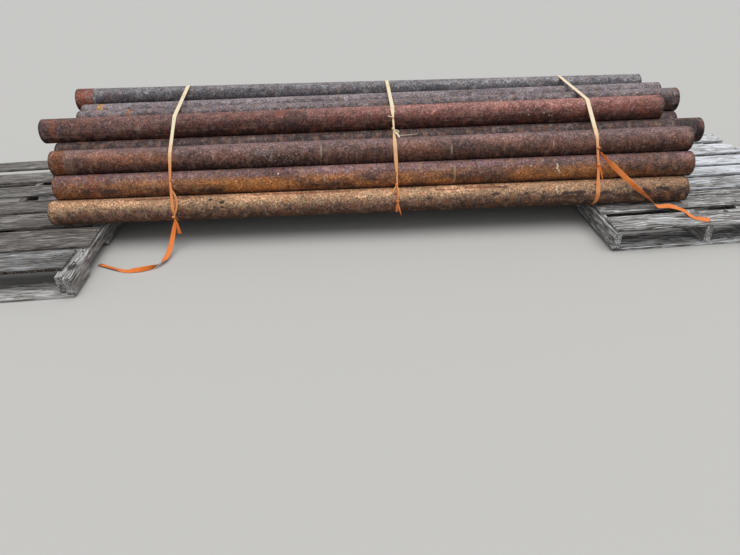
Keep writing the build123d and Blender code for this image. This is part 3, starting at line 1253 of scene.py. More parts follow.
    def notched_mesh(self, timber: Timber, source: bpy.types.Object, turned: Matrix) -> bpy.types.Mesh:
        """A copy of a notched CAD timber with softened edges, in the pallet's own frame.

        Args:
            timber: The timber.
            source: Its CAD node's object.
            turned: The pallet's turn.

        Returns:
            The mesh, with the attributes that the timber finish reads.
        """
        shape = bmesh.new()
        shape.from_mesh(source.data)
        bmesh.ops.remove_doubles(shape, verts=shape.verts, dist=SAME_POINT)
        shape.transform(turned.inverted())
        bmesh.ops.dissolve_limit(shape, angle_limit=self.flat_angle, verts=shape.verts, edges=shape.edges)
        sharp = [e for e in shape.edges if len(e.link_faces) == 2 and e.calc_face_angle(0) > self.sharp_angle]
        bmesh.ops.bevel(shape, geom=sharp, offset=self.arris, segments=2, affect="EDGES", profile=0.5)
        mesh = bpy.data.meshes.new(timber.node)
        shape.to_mesh(mesh)
        shape.free()
        coords = [timber.coord(vertex.co - timber.low) for vertex in mesh.vertices]
        return self.finished(mesh, coords, [Vector()] * len(coords))

    @staticmethod
    def finished(mesh: bpy.types.Mesh, coords: list[Vector], worn_lit_edges_and_bark: list[Vector]) -> bpy.types.Mesh:
        """Turn the faces outwards and keep what the finish reads on the points.

        Args:
            mesh: The timber's mesh.
            coords: Each point's place in the wood's own pattern.
            worn_lit_edges_and_bark: How pale its edges are, from real wear and a painted highlight, and how
                barked it is.

        Returns:
            The same mesh.
        """
        shape = bmesh.new()
        shape.from_mesh(mesh)
        bmesh.ops.recalc_face_normals(shape, faces=shape.faces)
        shape.to_mesh(mesh)
        shape.free()
        keep(mesh, "grain_coord", coords)
        keep(mesh, "timber_worn_lit_edge_and_bark", worn_lit_edges_and_bark)
        return mesh

    def nails(self, timbers: list[Timber], turned: Matrix) -> None:
        """Set two nails where each deck board crosses each stringer.

        Args:
            timbers: The pallet's timbers.
            turned: The pallet's turn.
        """
        chance = random.Random(self.seed)
        across, deep = self.nail_scatter
        places = []
        for deck in (t for t in timbers if "deck_board" in t.node):
            for beam in (t for t in timbers if "stringer" in t.node):
                for share in self.nail_shares:
                    x = (beam.low.x + beam.high.x) / 2 + chance.uniform(-across, across)
                    y = deck.low.y + (deck.high.y - deck.low.y) * share + chance.uniform(-deep, deep)
                    places.append(turned @ Vector((x, y, deck.high.z - self.nail_sink)))
        mesh = bpy.data.meshes.new("nail_places")
        mesh.from_pydata(places, [], [])
        steel = NailSteel("rusted_nail_steel").material()
        piece = new_object(f"{self.name}_nails", mesh, steel)
        sizes = {"Head Radius": self.nail_radius, "Head Height": self.nail_height}
        use_tree(piece, NailTree().build(), sizes, steel)
        dress(piece, self.slot)


@dataclass
class Station:
    """One cross-section of a ribbon: where it is, which way its width and its face point, and its size.

    Its fade, from 0 to 1, is how pale it is: partly the sun's bleaching and partly a painted sheen of the sky
    on what faces up.
    """

    middle: Vector
    across: Vector
    out: Vector
    width: float
    fade: float


def keyed(keys: Keys, at: float, eased: bool = True) -> float:
    """The value at a place between keys.

    Args:
        keys: (place, value) keys that rise.
        at: The place.
        eased: Whether the value eases from key to key, or follows straight lines.

    Returns:
        The value.
    """
    if at <= keys[0][0]:
        return keys[0][1]
    for (a, first), (b, second) in zip(keys, keys[1:]):
        if at <= b:
            share = (at - a) / (b - a)
            return first + (second - first) * (share * share * (3 - 2 * share) if eased else share)
    return keys[-1][1]


@dataclass
class RibbonTree:
    """The geometry tree of flat webbing: a thin oval section at every point of a line of points.

    The points carry the attributes across, out, width, thick, fade and run.
    """

    sides: int = 12

    def build(self) -> bpy.types.NodeTree:
        """Make the tree.

        Returns:
            A tree with the inputs Rows, Thickness and Material.
        """
        inputs = {"Rows": "Int", "Thickness": "Float", "Material": "Material"}
        graph, given = start_tree("woven_ribbon", inputs)
        add = graph.add
        grid, row, cosine, sine = tube_grid(graph, given["Rows"], self.sides)
        read = {}
        for name, kind in (("position", "FLOAT_VECTOR"), ("across", "FLOAT_VECTOR"), ("out", "FLOAT_VECTOR"),
                           ("width", "FLOAT"), ("thick", "FLOAT"), ("fade", "FLOAT"), ("run", "FLOAT")):
            value = add("GeometryNodeInputNamedAttribute", {"Name": name}, data_type=kind)
            read[name] = add("GeometryNodeSampleIndex",
                             {"Geometry": given["Geometry"], "Value": value, "Index": row},
                             data_type=kind, domain="POINT")
        side = graph.chain(MATH, cosine, ("MULTIPLY", 0.5), ("MULTIPLY", read["width"]))
        rise = graph.chain(MATH, sine, ("MULTIPLY", 0.5), ("MULTIPLY", given["Thickness"]),
                           ("MULTIPLY", read["thick"]))
        side_way, rise_way = (add(VECTOR_MATH, {0: read[way], "Scale": far}, operation="SCALE")
                              for way, far in (("across", side), ("out", rise)))
        coord = add("ShaderNodeCombineXYZ", {0: side, 1: read["run"], 2: rise})
        mesh = tube_mesh(graph, grid, (read["position"], side_way, rise_way), ("weave_coord", coord),
                         ("fade", read["fade"]))
        return end_tree(graph, mesh, given["Material"])


@dataclass
class Weaver:
    """Makes every ribbon of the webbing, with one tree and one material."""

    tree: bpy.types.NodeTree
    material: bpy.types.Material
    slot: str = "orange_webbing"

    def weave(
        self, name: str, rows: list[Station], thickness: float, closed: bool = False, node: str = ""
    ) -> bpy.types.Object:
        """Draw one ribbon through its cross-sections.

        Args:
            name: The object's name.
            rows: The cross-sections in order.
            thickness: The ribbon's thickness in metres.
            closed: Whether the last cross-section joins the first. An open ribbon thins out at its ends.
            node: The CAD node whose place it takes, if any.

        Returns:
            The ribbon as a plain mesh object that rides on the part.
        """
        every = rows + rows[:1] if closed else rows
        middles = [row.middle for row in every]
        thick = [1.0] * len(every)
        if not closed:
            thick[0] = thick[-1] = 0.0
        mesh = bpy.data.meshes.new(name)
        mesh.from_pydata(middles, [], [])
        for key in ("across", "out", "width", "fade"):
            keep(mesh, key, [getattr(row, key) for row in every])
        keep(mesh, "thick", thick)
        keep(mesh, "run", lengths_along(middles))
        piece = new_object(name, mesh, self.material)
        use_tree(piece, self.tree, {"Rows": len(every), "Thickness": thickness}, self.material)
        dress(piece, self.slot, node)
        return piece


def lengths_along(points: list[Vector]) -> list[float]:
    """How far along a line each of its points is.

    Args:
        points: The line.

    Returns:
        The distances in metres, the first of them 0.
    """
    run = [0.0]
    for a, b in zip(points, points[1:]):
        run.append(run[-1] + (b - a).length)
    return run


def softened(points: list[Vector], rounds: int = 3) -> list[Vector]:
    """A smooth line near the given corners, by cutting each corner off a few times.

    Args:
        points: The corners.
        rounds: How many times.

    Returns:
        The smooth line's points, with both ends.
    """
    for _ in range(rounds):
        cut = [points[0]]
        for a, b in zip(points, points[1:]):
            cut += [a.lerp(b, 0.25), a.lerp(b, 0.75)]
        points = cut + [points[-1]]
    return points


def flat_rows(points: list[Vector], facing: Vector, turns: Keys, widths: Keys, fade: float) -> list[Station]:
    """The cross-sections of a ribbon along a line.

    Args:
        points: The line.
        facing: The way that the flat side faces where the turn is 0.
        turns: How far the ribbon is rolled about its line in degrees, by the share of its length.
        widths: Its width in millimetres, by the same share.
        fade: How pale it is, from 0 to 1: partly the sun's bleaching and partly a painted sheen of the sky.

    Returns:
        One cross-section for each point.
    """
    run = lengths_along(points)
    rows = []
    for i, point in enumerate(points):
        ahead = (points[min(i + 1, len(points) - 1)] - points[max(i - 1, 0)]).normalized()
        share = run[i] / run[-1]
        across = ahead.cross(facing).normalized()
        across = Matrix.Rotation(math.radians(keyed(turns, share)), 3, ahead) @ across
        rows.append(Station(point, across, across.cross(ahead).normalized(), keyed(widths, share) * MM, fade))
    return rows


@dataclass
class StrapLoop:
    """One strap, drawn tight round the pipes.

    places holds where it lies along X in millimetres, and widths its width, both by the share of the
    way round: 0 under the front pipe, 0.05 to 0.15 up the front slope, 0.25 over the top front edge,
    0.4 on the askew pipes, 0.65 under the back pipe, and 1 back under the front pipe. How pale it is,
    partly from the sun's bleaching and partly as a painted sheen of the sky on its top, goes from
    fade_floor at the height fade_low up to 1 at fade_high, in metres.
    """

    node: str
    places: Keys
    widths: Keys
    fade_low: float = 0.30
    fade_high: float = 0.52
    fade_floor: float = 0.3
    clear: float = 0.0013
    turn_step: float = 6.0
    run_step: float = 0.02
    askew_share: float = 0.4

    def lies_at(self, share: float, stack: StackFrame) -> float:
        """Where the strap lies along X at a share of the way round, in metres."""
        return stack.at(keyed(self.places, share, eased=False), 0, 0).x

    def outline(self, axes: Axes, x: float) -> list[Vector]:
        """The middles of the outermost pipes where the strap crosses them, from the front bottom one.

        Args:
            axes: The two ends of each pipe's axis.
            x: Where the strap crosses the pipes.

        Returns:
            The middles, once round.
        """
        middles = [start.lerp(end, (x - start.x) / (end.x - start.x)) for start, end in axes.values()]
        middles.sort(key=lambda p: (p.y, p.z))

        def outer(ordered: list[Vector]) -> list[Vector]:
            """The outer points on one side of the set.

            Args:
                ordered: The points in order.

            Returns:
                Those that the strap touches.
            """
            kept: list[Vector] = []
            for p in ordered:
                while len(kept) > 1:
                    a, b = kept[-2], kept[-1]
                    if (b.y - a.y) * (p.z - a.z) - (b.z - a.z) * (p.y - a.y) < -1e-9:
                        break
                    kept.pop()
                kept.append(p)
            return kept

        return outer(middles)[:-1] + outer(middles[::-1])[:-1]

    def corners(self, axes: Axes, stack: StackFrame) -> list[tuple[float, Vector, float]]:
        """Where the strap bends round the outermost pipes.

        Args:
            axes: The two ends of each pipe's axis.
            stack: The frame that places are given in.

        Returns:
            The share of the way round, the place and the way that the strap faces, for each step of a bend.
        """
        ring = self.outline(axes, self.lies_at(self.askew_share, stack))
        bends: list[tuple[float, Vector, float]] = []
        facing = 270.0
        run = 0.0
        for i, middle in enumerate(ring):
            before, after = ring[i - 1], ring[(i + 1) % len(ring)]
            came = math.degrees(math.atan2(middle.z - before.z, middle.y - before.y))
            goes = math.degrees(math.atan2(after.z - middle.z, after.y - middle.y))
            turn = (came - goes) % 360
            steps = max(1, math.ceil(turn / self.turn_step))
            for k in range(steps + 1):
                turned = turn * k / steps
                bends.append((run + math.radians(turned) * PIPE_RADIUS, middle, facing - turned))
            facing -= turn
            run = bends[-1][0] + Vector((after.y - middle.y, after.z - middle.z)).length
        placed = []
        for gone, middle, facing in bends:
            way = math.radians(facing)
            spot = middle + Vector((0, math.cos(way), math.sin(way))) * (PIPE_RADIUS + self.clear)
            spot.x = self.lies_at(gone / run, stack)
            placed.append((gone / run, spot, facing))
        placed.append((1.0, placed[0][1], facing))
        return placed

    def rows(self, axes: Axes, stack: StackFrame) -> list[Station]:
        """The strap's cross-sections, once round from under the front bottom pipe.

        Args:
            axes: The two ends of each pipe's axis.
            stack: The frame that places are given in.

        Returns:
            The cross-sections.
        """
        bends = self.corners(axes, stack)
        spots: list[tuple[float, Vector, float]] = []
        for (share, spot, facing), (next_share, next_spot, _) in zip(bends, bends[1:]):
            count = max(1, round((next_spot - spot).length / self.run_step))
            for k in range(count):
                part = k / count
                spots.append((share + (next_share - share) * part, spot.lerp(next_spot, part), facing))
        rows = []
        for i, (share, spot, facing) in enumerate(spots):
            ahead = spots[(i + 1) % len(spots)][1] - spots[i - 1][1]
            way = Vector((0, math.cos(math.radians(facing)), math.sin(math.radians(facing))))
            across = ahead.cross(way).normalized()
            out = across.cross(ahead).normalized()
            out = out if out.dot(way) > 0 else -out
            fade = (spot.z - self.fade_low) / (self.fade_high - self.fade_low)
            width = keyed(self.widths, share, eased=False) * MM
            rows.append(Station(spot, across, out, width, max(self.fade_floor, min(1.0, fade))))
        return rows

    def build(self, axes: Axes, stack: StackFrame, weaver: Weaver) -> None:
        """Build and dress the strap in the place of its CAD node."""
        rows = self.rows(axes, stack)
        weaver.weave(f"{self.node}_webbing", rows, WEBBING_THICKNESS, closed=True, node=self.node)


@dataclass
class Knot:
    """A hard little knot: two turns of webbing round the strand, crossed. Sizes are in millimetres."""

    middle: Point
    size: float = 17.0
    strand: float = 8.0
    lean: float = 24.0
    depth: float = 6.0
    thickness: float = 3.0
    fade: float = 0.3
    steps: int = 20

    def build(self, name: str, stack: StackFrame, weaver: Weaver, along: Vector, out: Vector) -> None:
        """Build the knot.

        Args:
            name: The object's name.
            stack: The frame that places are given in.
            weaver: What makes the ribbons.
            along: The way that the strand runs.
            out: The way from the pipes to the eye.
        """
        centre = stack.at(*self.middle)
        side = along.cross(out).normalized()
        for number, lean in enumerate((-self.lean, self.lean)):
            turned = Matrix.Rotation(math.radians(lean), 3, out)
            across, width_way = turned @ side, turned @ along
            rows = []
            for k in range(self.steps):
                angle = 2 * math.pi * k / self.steps
                away = across * (math.cos(angle) * self.size / 2) + out * (math.sin(angle) * self.depth)
                spot = centre + away * MM
                rows.append(Station(spot, width_way, away.normalized(), self.strand * MM, self.fade))
            weaver.weave(f"{name}_{number + 1}", rows, self.thickness * MM, closed=True)


@dataclass
class LooseEnd:
    """A short strand: a tail, a loop or a thread that comes off a knot. Sizes are in millimetres."""

    points: tuple[Point, ...]
    widths: Keys
    turns: Keys = ((0.0, 0.0), (1.0, 0.0))
    thickness: float = 1.6
    fade: float = 0.2

    def build(self, name: str, stack: StackFrame, weaver: Weaver, facing: Vector) -> None:
        """Build the strand.

        Args:
            name: The object's name.
            stack: The frame that places are given in.
            weaver: What makes the ribbons.
            facing: The way that its flat side faces where its turn is 0.
        """
        line = softened([stack.at(*point) for point in self.points])
        rows = flat_rows(line, facing, self.turns, self.widths, self.fade)
        weaver.weave(name, rows, self.thickness * MM)


@dataclass
class StrapTrim:
    """The knots and short strands of one strap, on the bundle's front slope."""

    name: str
    knots: tuple[Knot, ...]
    ends: tuple[LooseEnd, ...]
    slope: float = 60.0

    def build(self, stack: StackFrame, weaver: Weaver) -> None:
        """Build every knot and strand.

        Args:
            stack: The frame that places are given in.
            weaver: What makes the ribbons.
        """
        tilt = math.radians(self.slope)
        along = Vector((0, math.cos(tilt), math.sin(tilt)))
        out = Vector((0, -math.sin(tilt), math.cos(tilt)))
        for number, knot in enumerate(self.knots):
            knot.build(f"{self.name}_knot_{number + 1}", stack, weaver, along, out)
        for number, end in enumerate(self.ends):
            end.build(f"{self.name}_strand_{number + 1}", stack, weaver, out)


@dataclass
class StrapTail:
    """The free end of a strap: a limp flat ribbon that hangs and lies along its route.

    route holds the points of its line in millimetres, the same as in the part's source. turns holds
    how far the ribbon is rolled about its line in degrees, where 0 faces the front from above.
    lies holds how fully its weight rests on what is under it, from 0 to 1. Both go by the share of
    its length. bed is the height in millimetres of what it lies on.
    """

    node: str
    route: tuple[Point, ...]
    turns: Keys
    widths: Keys
    lies: Keys
    bed: float = 0.0
    facing: Point = (0.0, -0.84, 0.54)
    fade: float = 0.05
    steps: int = 10

    def line(self, stack: StackFrame) -> list[Vector]:
        """Points read from the smooth curve of the route.

        Args:
            stack: The frame that places are given in.

        Returns:
            The points, from the strap to the tail's tip.
        """
        data = bpy.data.curves.new(f"{self.node}_line", "CURVE")
        data.dimensions = "3D"
        data.resolution_u = self.steps
        spline = data.splines.new("NURBS")
        spline.points.add(len(self.route) - 1)
        for point, place in zip(spline.points, self.route):
            point.co = (*stack.at(*place), 1.0)
        spline.order_u = 3
        spline.use_endpoint_u = True
        holder = bpy.data.objects.new(f"{self.node}_line", data)
        bpy.context.scene.collection.objects.link(holder)
        mesh = bpy.data.meshes.new_from_object(holder.evaluated_get(bpy.context.evaluated_depsgraph_get()))
        points = [v.co.copy() for v in mesh.vertices]
        bpy.data.objects.remove(holder)
        bpy.data.meshes.remove(mesh)
        return points

    def build(self, stack: StackFrame, weaver: Weaver) -> None:
        """Args:
            stack: The frame that places are given in.
            weaver: What makes the ribbons.
        """
        points = self.line(stack)
        rows = flat_rows(points, Vector(self.facing), self.turns, self.widths, self.fade)
        run = lengths_along(points)
        for row, far in zip(rows, run):
            resting = self.bed * MM + abs(row.across.z) * row.width / 2 + WEBBING_THICKNESS
            row.middle.z += (resting - row.middle.z) * keyed(self.lies, far / run[-1])
        piece = weaver.weave(f"{self.node}_webbing", rows, WEBBING_THICKNESS, node=self.node)
        path = [row.middle for row in rows]
        length = lengths_along(path)[-1]
        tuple(path[0])
        LOG.info("%s: %.3f m long", piece.name, length)


@dataclass
class Studio:
    """The floor, the light and the camera, which stands at eye, in millimetres. Angles are in degrees."""

    focal_px: float = 556.0
    image_px: float = 740.0
    sensor: float = 36.0
    reach: float = 200.0
    pitch: float = 33.14
    roll: float = 2.27
    eye: Point = (-8.0, -2645.0, 1433.0)
    floor_half: float = 60.0
    sky: str = "#f2f5fa"
    sky_strength: float = 0.55
    sun_strength: float = 1.6
    sun_spread: float = 60.0
    sun_turn: tuple[float, float] = (6.0, 12.0)

    def build(self, stack: StackFrame) -> None:
        """Build the floor, the light and the camera.

        Args:
            stack: The frame that places are given in.
        """
        half = self.floor_half
        mesh = bpy.data.meshes.new("floor")
        corners = [(-half, -half, 0), (half, -half, 0), (half, half, 0), (-half, half, 0)]
        mesh.from_pydata(corners, [], [(0, 1, 2, 3)])
        new_object("floor", mesh, PaleFloor("matt_floor_paint").material())
        scene = bpy.context.scene
        scene.view_settings.view_transform = "Standard"
        world = bpy.data.worlds.new("soft_sky")
        world.use_nodes = True
        world.node_tree.nodes.clear()
        graph = Graph(world.node_tree)
        sky = graph.add("ShaderNodeBackground", {"Color": self.sky, "Strength": self.sky_strength})
        graph.add("ShaderNodeOutputWorld", {"Surface": sky})
        scene.world = world
        sun = bpy.data.lights.new("overcast_sun", "SUN")
        sun.energy = self.sun_strength
        sun.angle = math.radians(self.sun_spread)
        lamp = bpy.data.objects.new("overcast_sun", sun)
        lamp.rotation_euler = (*(math.radians(turn) for turn in self.sun_turn), 0)
        scene.collection.objects.link(lamp)
        self.camera(stack)

    def camera(self, stack: StackFrame) -> None:
        """Set the camera up as the photograph was taken.

        Args:
            stack: The frame that places are given in.
        """
        down = math.radians(self.pitch)
        tilt = math.radians(self.roll)
        forward = Vector((0, math.cos(down), -math.sin(down)))
        level_up = Vector((0, math.sin(down), math.cos(down)))
        level_right = Vector((1, 0, 0))
        right = level_right * math.cos(tilt) - level_up * math.sin(tilt)
        upward = level_right * math.sin(tilt) + level_up * math.cos(tilt)
        data = bpy.data.cameras.new("camera")
        data.sensor_width = self.sensor
        data.lens = self.sensor * self.focal_px / self.image_px
        data.clip_end = self.reach
        holder = bpy.data.objects.new("camera", data)
        turned = Matrix((right, upward, -forward)).transposed()
        holder.matrix_world = Matrix.Translation(stack.at(*self.eye)) @ turned.to_4x4()
        bpy.context.scene.collection.objects.link(holder)
        bpy.context.scene.camera = holder


PIPE_FINISHES = {
    "bottom_row_pipe_1": Rust(
        "tan_flaking_rust", top="#bf9370", upper="#a98766", side="#775a48", low="#5c4438",
        pale="#d8b48c", dark="#3a2620", warm="#b8703c", speck="#dcc8a4",
        patch="#6c4e44", patch_share=0.75, patch_turn=84, patch_spread=38,
        patch_along=((0, 0.2), (0.08, 0.8), (0.18, 1), (0.3, 0.3), (0.42, 1), (0.55, 0.5), (0.75, 0.9),
                     (0.85, 0.6), (1, 1)),
        tone_along=((0, 0.92), (0.2, 0.98), (0.42, 1.2), (0.56, 0.9), (0.7, 0.93), (0.85, 0.82), (1, 0.5)),
        bands=(Band(0, 0.03, "#a8805c", 0.4),),
        marks=(
            Mark(0.834, 28, 0.010, 0.007, "#2c1c16"), Mark(0.890, 47, 0.012, 0.009, "#241815"),
            Mark(0.890, 68, 0.012, 0.007, "#2c1c16"), Mark(2.29, 58, 0.028, 0.009, "#4b3029"),
            Mark(1.945, 66, 0.018, 0.007, "#46302a"), Mark(2.443, 60, 0.014, 0.006, "#3c2a26"),
            Mark(2.531, 58, 0.010, 0.007, "#3c2a26"), Mark(2.70, 66, 0.075, 0.010, "#432e29"),
            Mark(2.66, 82, 0.12, 0.012, "#4a342e", 0.7), Mark(2.84, 72, 0.05, 0.009, "#402c28"),
            Mark(2.218, 18, 0.11, 0.010, "#8a4a34", 0.7), Mark(3.04, 72, 0.055, 0.012, "#38241f"),
            Mark(3.12, 58, 0.02, 0.008, "#2f1f1b"), Mark(3.16, 66, 0.016, 0.010, "#2f1f1b"),
            Mark(3, 84, 0.1, 0.016, "#45302b", 0.8), Mark(2.05, 24, 0.07, 0.006, "#7c4030", 0.8),
            Mark(2.33, 22, 0.03, 0.006, "#5c382e"), Mark(2.602, 36, 0.003, 0.006, "#ece0c4"),
            Mark(2.598, 48, 0.004, 0.005, "#ece0c4"), Mark(2.604, 60, 0.003, 0.006, "#dccdac"),
            Mark(0.55, 12, 0.22, 0.008, "#7a4434", 0.7), Mark(1.35, 10, 0.28, 0.008, "#96543a", 0.7),
            Mark(1.78, 40, 0.012, 0.006, "#7a3a26"), Mark(1.85, 62, 0.006, 0.005, "#46302a"),
        ),
    ),
    "second_row_pipe_1": Rust(
        "ochre_streaked_rust", top="#785c5c", upper="#6e4d45", side="#5e4038", low="#452c23",
        pale="#d0a070", warm="#bc6e34",
        patch="#b2723a", patch_share=0.9, patch_turn=86, patch_spread=44,
        patch_along=((0, 0.3), (0.05, 0.9), (0.3, 1), (0.45, 1), (0.55, 0.9), (0.575, 0.2), (0.6, 0.9),
                     (0.63, 0.3), (0.7, 0.1), (0.73, 0.9), (0.85, 0.8), (0.93, 0.75), (1, 0.2)),
        tone_along=((0, 1.15), (0.18, 1.32), (0.28, 0.86), (0.34, 0.9), (0.43, 1.5), (0.53, 1.2), (0.7, 1),
                    (0.82, 0.76), (1, 0.96)),
        bands=(Band(0.186, 0.235, "#8a4a24", 0.35),),
        marks=(
            Mark(1.388, 70, 0.004, 0.014, "#b9a68e"), Mark(2.052, 75, 0.006, 0.05, "#b8966a", 0.7),
            Mark(2.574, 47, 0.005, 0.004, "#e6d6b0"), Mark(2.577, 56, 0.007, 0.005, "#eee0bc"),
            Mark(2.573, 65, 0.006, 0.005, "#eee0bc"), Mark(2.582, 76, 0.005, 0.006, "#e6d6b0"),
            Mark(2.588, 86, 0.005, 0.007, "#d8c49a"), Mark(2.44, 50, 0.004, 0.003, "#c8b49a"),
            Mark(1.153, 40, 0.004, 0.004, "#efe9de"), Mark(1.984, 50, 0.05, 0.006, "#9a8072", 0.6),
        ),
    ),
    "third_row_pipe_1": Rust(
        "mauve_streaked_rust", top="#796160", upper="#654b47", side="#523833", low="#36231f",
        pale="#a89088", pale_share=0.4, warm="#94603f", warm_share=0.3,
        streak="#94705e", streak_share=0.5, patch="#9a5c3a", patch_share=0.6, patch_turn=62, patch_spread=60,
        patch_along=((0, 1), (0.17, 0.9), (0.22, 0.2), (0.5, 0.15), (0.56, 0.5), (0.72, 0.5), (0.8, 0.2),
                     (1, 0.4)),
        speck="#c4b8b4", speck_share=0.9,
        speck_along=((0, 0.1), (0.28, 0.2), (0.32, 1), (0.37, 1), (0.42, 0.4), (0.48, 0.1), (1, 0.1)),
        bands=(Band(0, 0.078, "#7d4a28", 0.85), Band(0.078, 0.122, "#8a6c62", 0.5)),
        marks=(
            Mark(1.095, 55, 0.05, 0.02, "#a49a98", 0.2), Mark(1.388, 62, 0.005, 0.03, "#a89484", 0.7),
            Mark(2.052, 80, 0.005, 0.03, "#a89a88", 0.7), Mark(2.57, 70, 0.004, 0.02, "#b8a890", 0.7),
            Mark(0.84, 66, 0.006, 0.02, "#b09880", 0.7),
        ),
    ),
    # third_row_pipe_2 lies under top_row_pipe_1: its dark colours are painted shadow of that pipe, and
    # tone_along lightens its right end, which comes out of the painted shadow
    "third_row_pipe_2": Rust(
        "brown_rust", top="#433433", upper="#362524", side="#2c1d1b", low="#241715", streak_share=0.3,
        tone_along=((0, 1), (0.92, 1.1), (0.96, 1.7), (1, 1.7)),
    ),
    "third_row_pipe_3": Rust(
        "brown_rust_dull", top="#544241", upper="#41302f", side="#342523", low="#251816",
    ),
    "top_row_pipe_1": Rust(
        "maroon_rust", top="#9c6b63", upper="#784840", side="#633a32", low="#462922", scratch_share=0.4,
        pale="#b98a78", pale_share=0.35, warm="#a05030", warm_share=0.35,
        patch="#6c5450", patch_share=0.8, patch_turn=30, patch_spread=90,
        patch_along=((0, 1), (0.3, 0.8), (0.42, 0.3), (1, 0)),
        tone_along=((0, 0.72), (0.4, 0.72), (0.5, 1), (1, 1)),
        bands=(Band(0, 0.048, "#5c4844", 0.6), Band(0.056, 0.092, "#87492f", 0.6),
               Band(0.092, 0.195, "#554440", 0.5)),
        marks=(
            Mark(1.28, 30, 0.035, 0.03, "#8e4a30", 0.5), Mark(1.35, 55, 0.06, 0.05, "#3a2826", 0.6),
            Mark(2.575, 62, 0.004, 0.004, "#b89a88"), Mark(2.58, 84, 0.005, 0.004, "#b89a88"),
            Mark(2.66, 78, 0.004, 0.005, "#b89a88"), Mark(2.69, 90, 0.005, 0.004, "#ac8e7c"),
        ),
    ),
    # top_row_pipe_2: its upper colour is darkened further as painted shade where the pipes beside it hide the
    # sky
    "top_row_pipe_2": Rust(
        "mauve_scale", top="#766b6e", upper="#483b3d", side="#3f3334", low="#2e2526",
        pale="#b8aaa6", warm="#a5734e", warm_share=0.4,
        bands=(Band(0.269, 0.305, "#99603c", 0.6),),
    ),
    "top_row_pipe_3": Rust(
        "mauve_scale_dull", top="#81777a", upper="#625659", side="#4a3e40", low="#30282a",
        pale="#a89c9a", warm="#94694c", warm_share=0.3,
        bands=(Band(0.090, 0.127, "#b07f42", 0.8),),
    ),
    "loose_top_pipe": Rust(
        "slate_mill_scale", top="#7e797b", upper="#545156", side="#3f3d42", low="#2b292e", speck="#b4b0ae",
        pale="#a8a3a2", pale_share=0.5, dark="#29262a", warm="#7a5a4e", warm_share=0.35, roughness=0.62,
        bands=(Band(0, 0.102, "#7c4330", 0.95), Band(0.102, 0.117, "#8b949a", 0.5)),
        marks=(Mark(0.195, 60, 0.02, 0.02, "#6a4a46", 0.5), Mark(0.254, 50, 0.02, 0.02, "#6a4a46", 0.4)),
    ),
}
PLAIN_RUST = (
    Rust("brown_rust_plain", top="#7d6662", upper="#644d48", side="#4d3832", low="#33231f"),
    Rust("mauve_rust_plain", top="#806a69", upper="#665150", side="#4e3b39", low="#332423", streak_share=0.3),
    Rust("red_rust_plain", top="#906459", upper="#714c42", side="#53382f", low="#36231d",
         patch="#8c5a30", patch_share=0.5),
)
TAILS = (
    StrapTail(
        "left_strap_tail",
        route=((-996, -69.4, 156.3), (-1006, -90, 110), (-1016, -128, 66), (-1022, -178, 32),
               (-1034, -240, 14), (-1066, -296, 13), (-1122, -316, 13), (-1190, -318, 13),
               (-1272, -286, 13), (-1366, -236, 13)),
        turns=((0, 20), (0.12, 0), (0.34, 5), (0.44, 80), (0.54, 165), (0.62, 190), (0.72, 232),
               (0.8, 254), (1, 246)),
        widths=((0, 12), (0.08, 22), (0.2, 25), (1, 25)),
        lies=((0, 0), (0.38, 0), (0.6, 1), (1, 1)),
    ),
    StrapTail(
        "right_strap_tail",
        route=((1179, 26.7, 389.1), (1232, -8, 337), (1286, -34, 290), (1344, -64, 242), (1400, -88, 196),
               (1450, -94, 156), (1508, -86, 138), (1570, -99, 134), (1597, -141, 134), (1601, -200, 134),
               (1618, -242, 134), (1661, -256, 134)),
        turns=((0, 60), (0.06, 50), (0.14, 25), (0.27, 15), (0.38, 42), (0.46, 75), (0.53, 105),
               (0.6, 148), (0.67, 166), (0.74, 146), (0.8, 166), (1, 158)),
        widths=((0, 10), (0.05, 14), (0.15, 25), (1, 25)),
        lies=((0, 0), (0.52, 0), (0.62, 1), (1, 1)),
        bed=121,
        # This tail is paler than the left one as painted light on its flat side, which faces the light where
        # it lies
        fade=0.14,
    ),
)
STRAPS = (
    StrapLoop("left_strap",
              places=((0, -985), (0.05, -1000), (0.1, -1004), (0.155, -998), (0.25, -1004),
                      (0.4, -1019), (0.48, -1026), (0.65, -1026), (1, -985)),
              widths=((0, 14), (0.033, 11), (0.042, 16), (0.058, 17), (0.086, 11), (0.12, 14), (0.15, 18),
                      (0.17, 18), (0.22, 17), (0.25, 22), (1, 20))),
    StrapLoop("middle_strap", fade_low=0.1, fade_high=0.62, fade_floor=0.42,
              places=((0, 147), (0.05, 149), (0.1, 149), (0.155, 145), (0.25, 145), (0.4, 135),
                      (0.65, 135), (1, 147)),
              widths=((0, 12), (0.046, 8), (0.078, 8), (0.085, 7), (0.12, 19), (0.155, 20), (0.18, 14),
                      (0.194, 7), (0.21, 11), (0.222, 8), (0.24, 21), (0.3, 20), (1, 20))),
    StrapLoop("right_strap",
              places=((0, 1157), (0.03, 1168), (0.05, 1171), (0.1, 1175), (0.155, 1171),
                      (0.25, 1174), (0.4, 1146), (0.48, 1120), (0.65, 1086), (1, 1157)),
              widths=((0, 18), (0.03, 21), (0.063, 23), (0.076, 14), (0.1, 12), (0.13, 13), (0.145, 15),
                      (0.165, 21), (0.25, 22), (1, 20))),
)
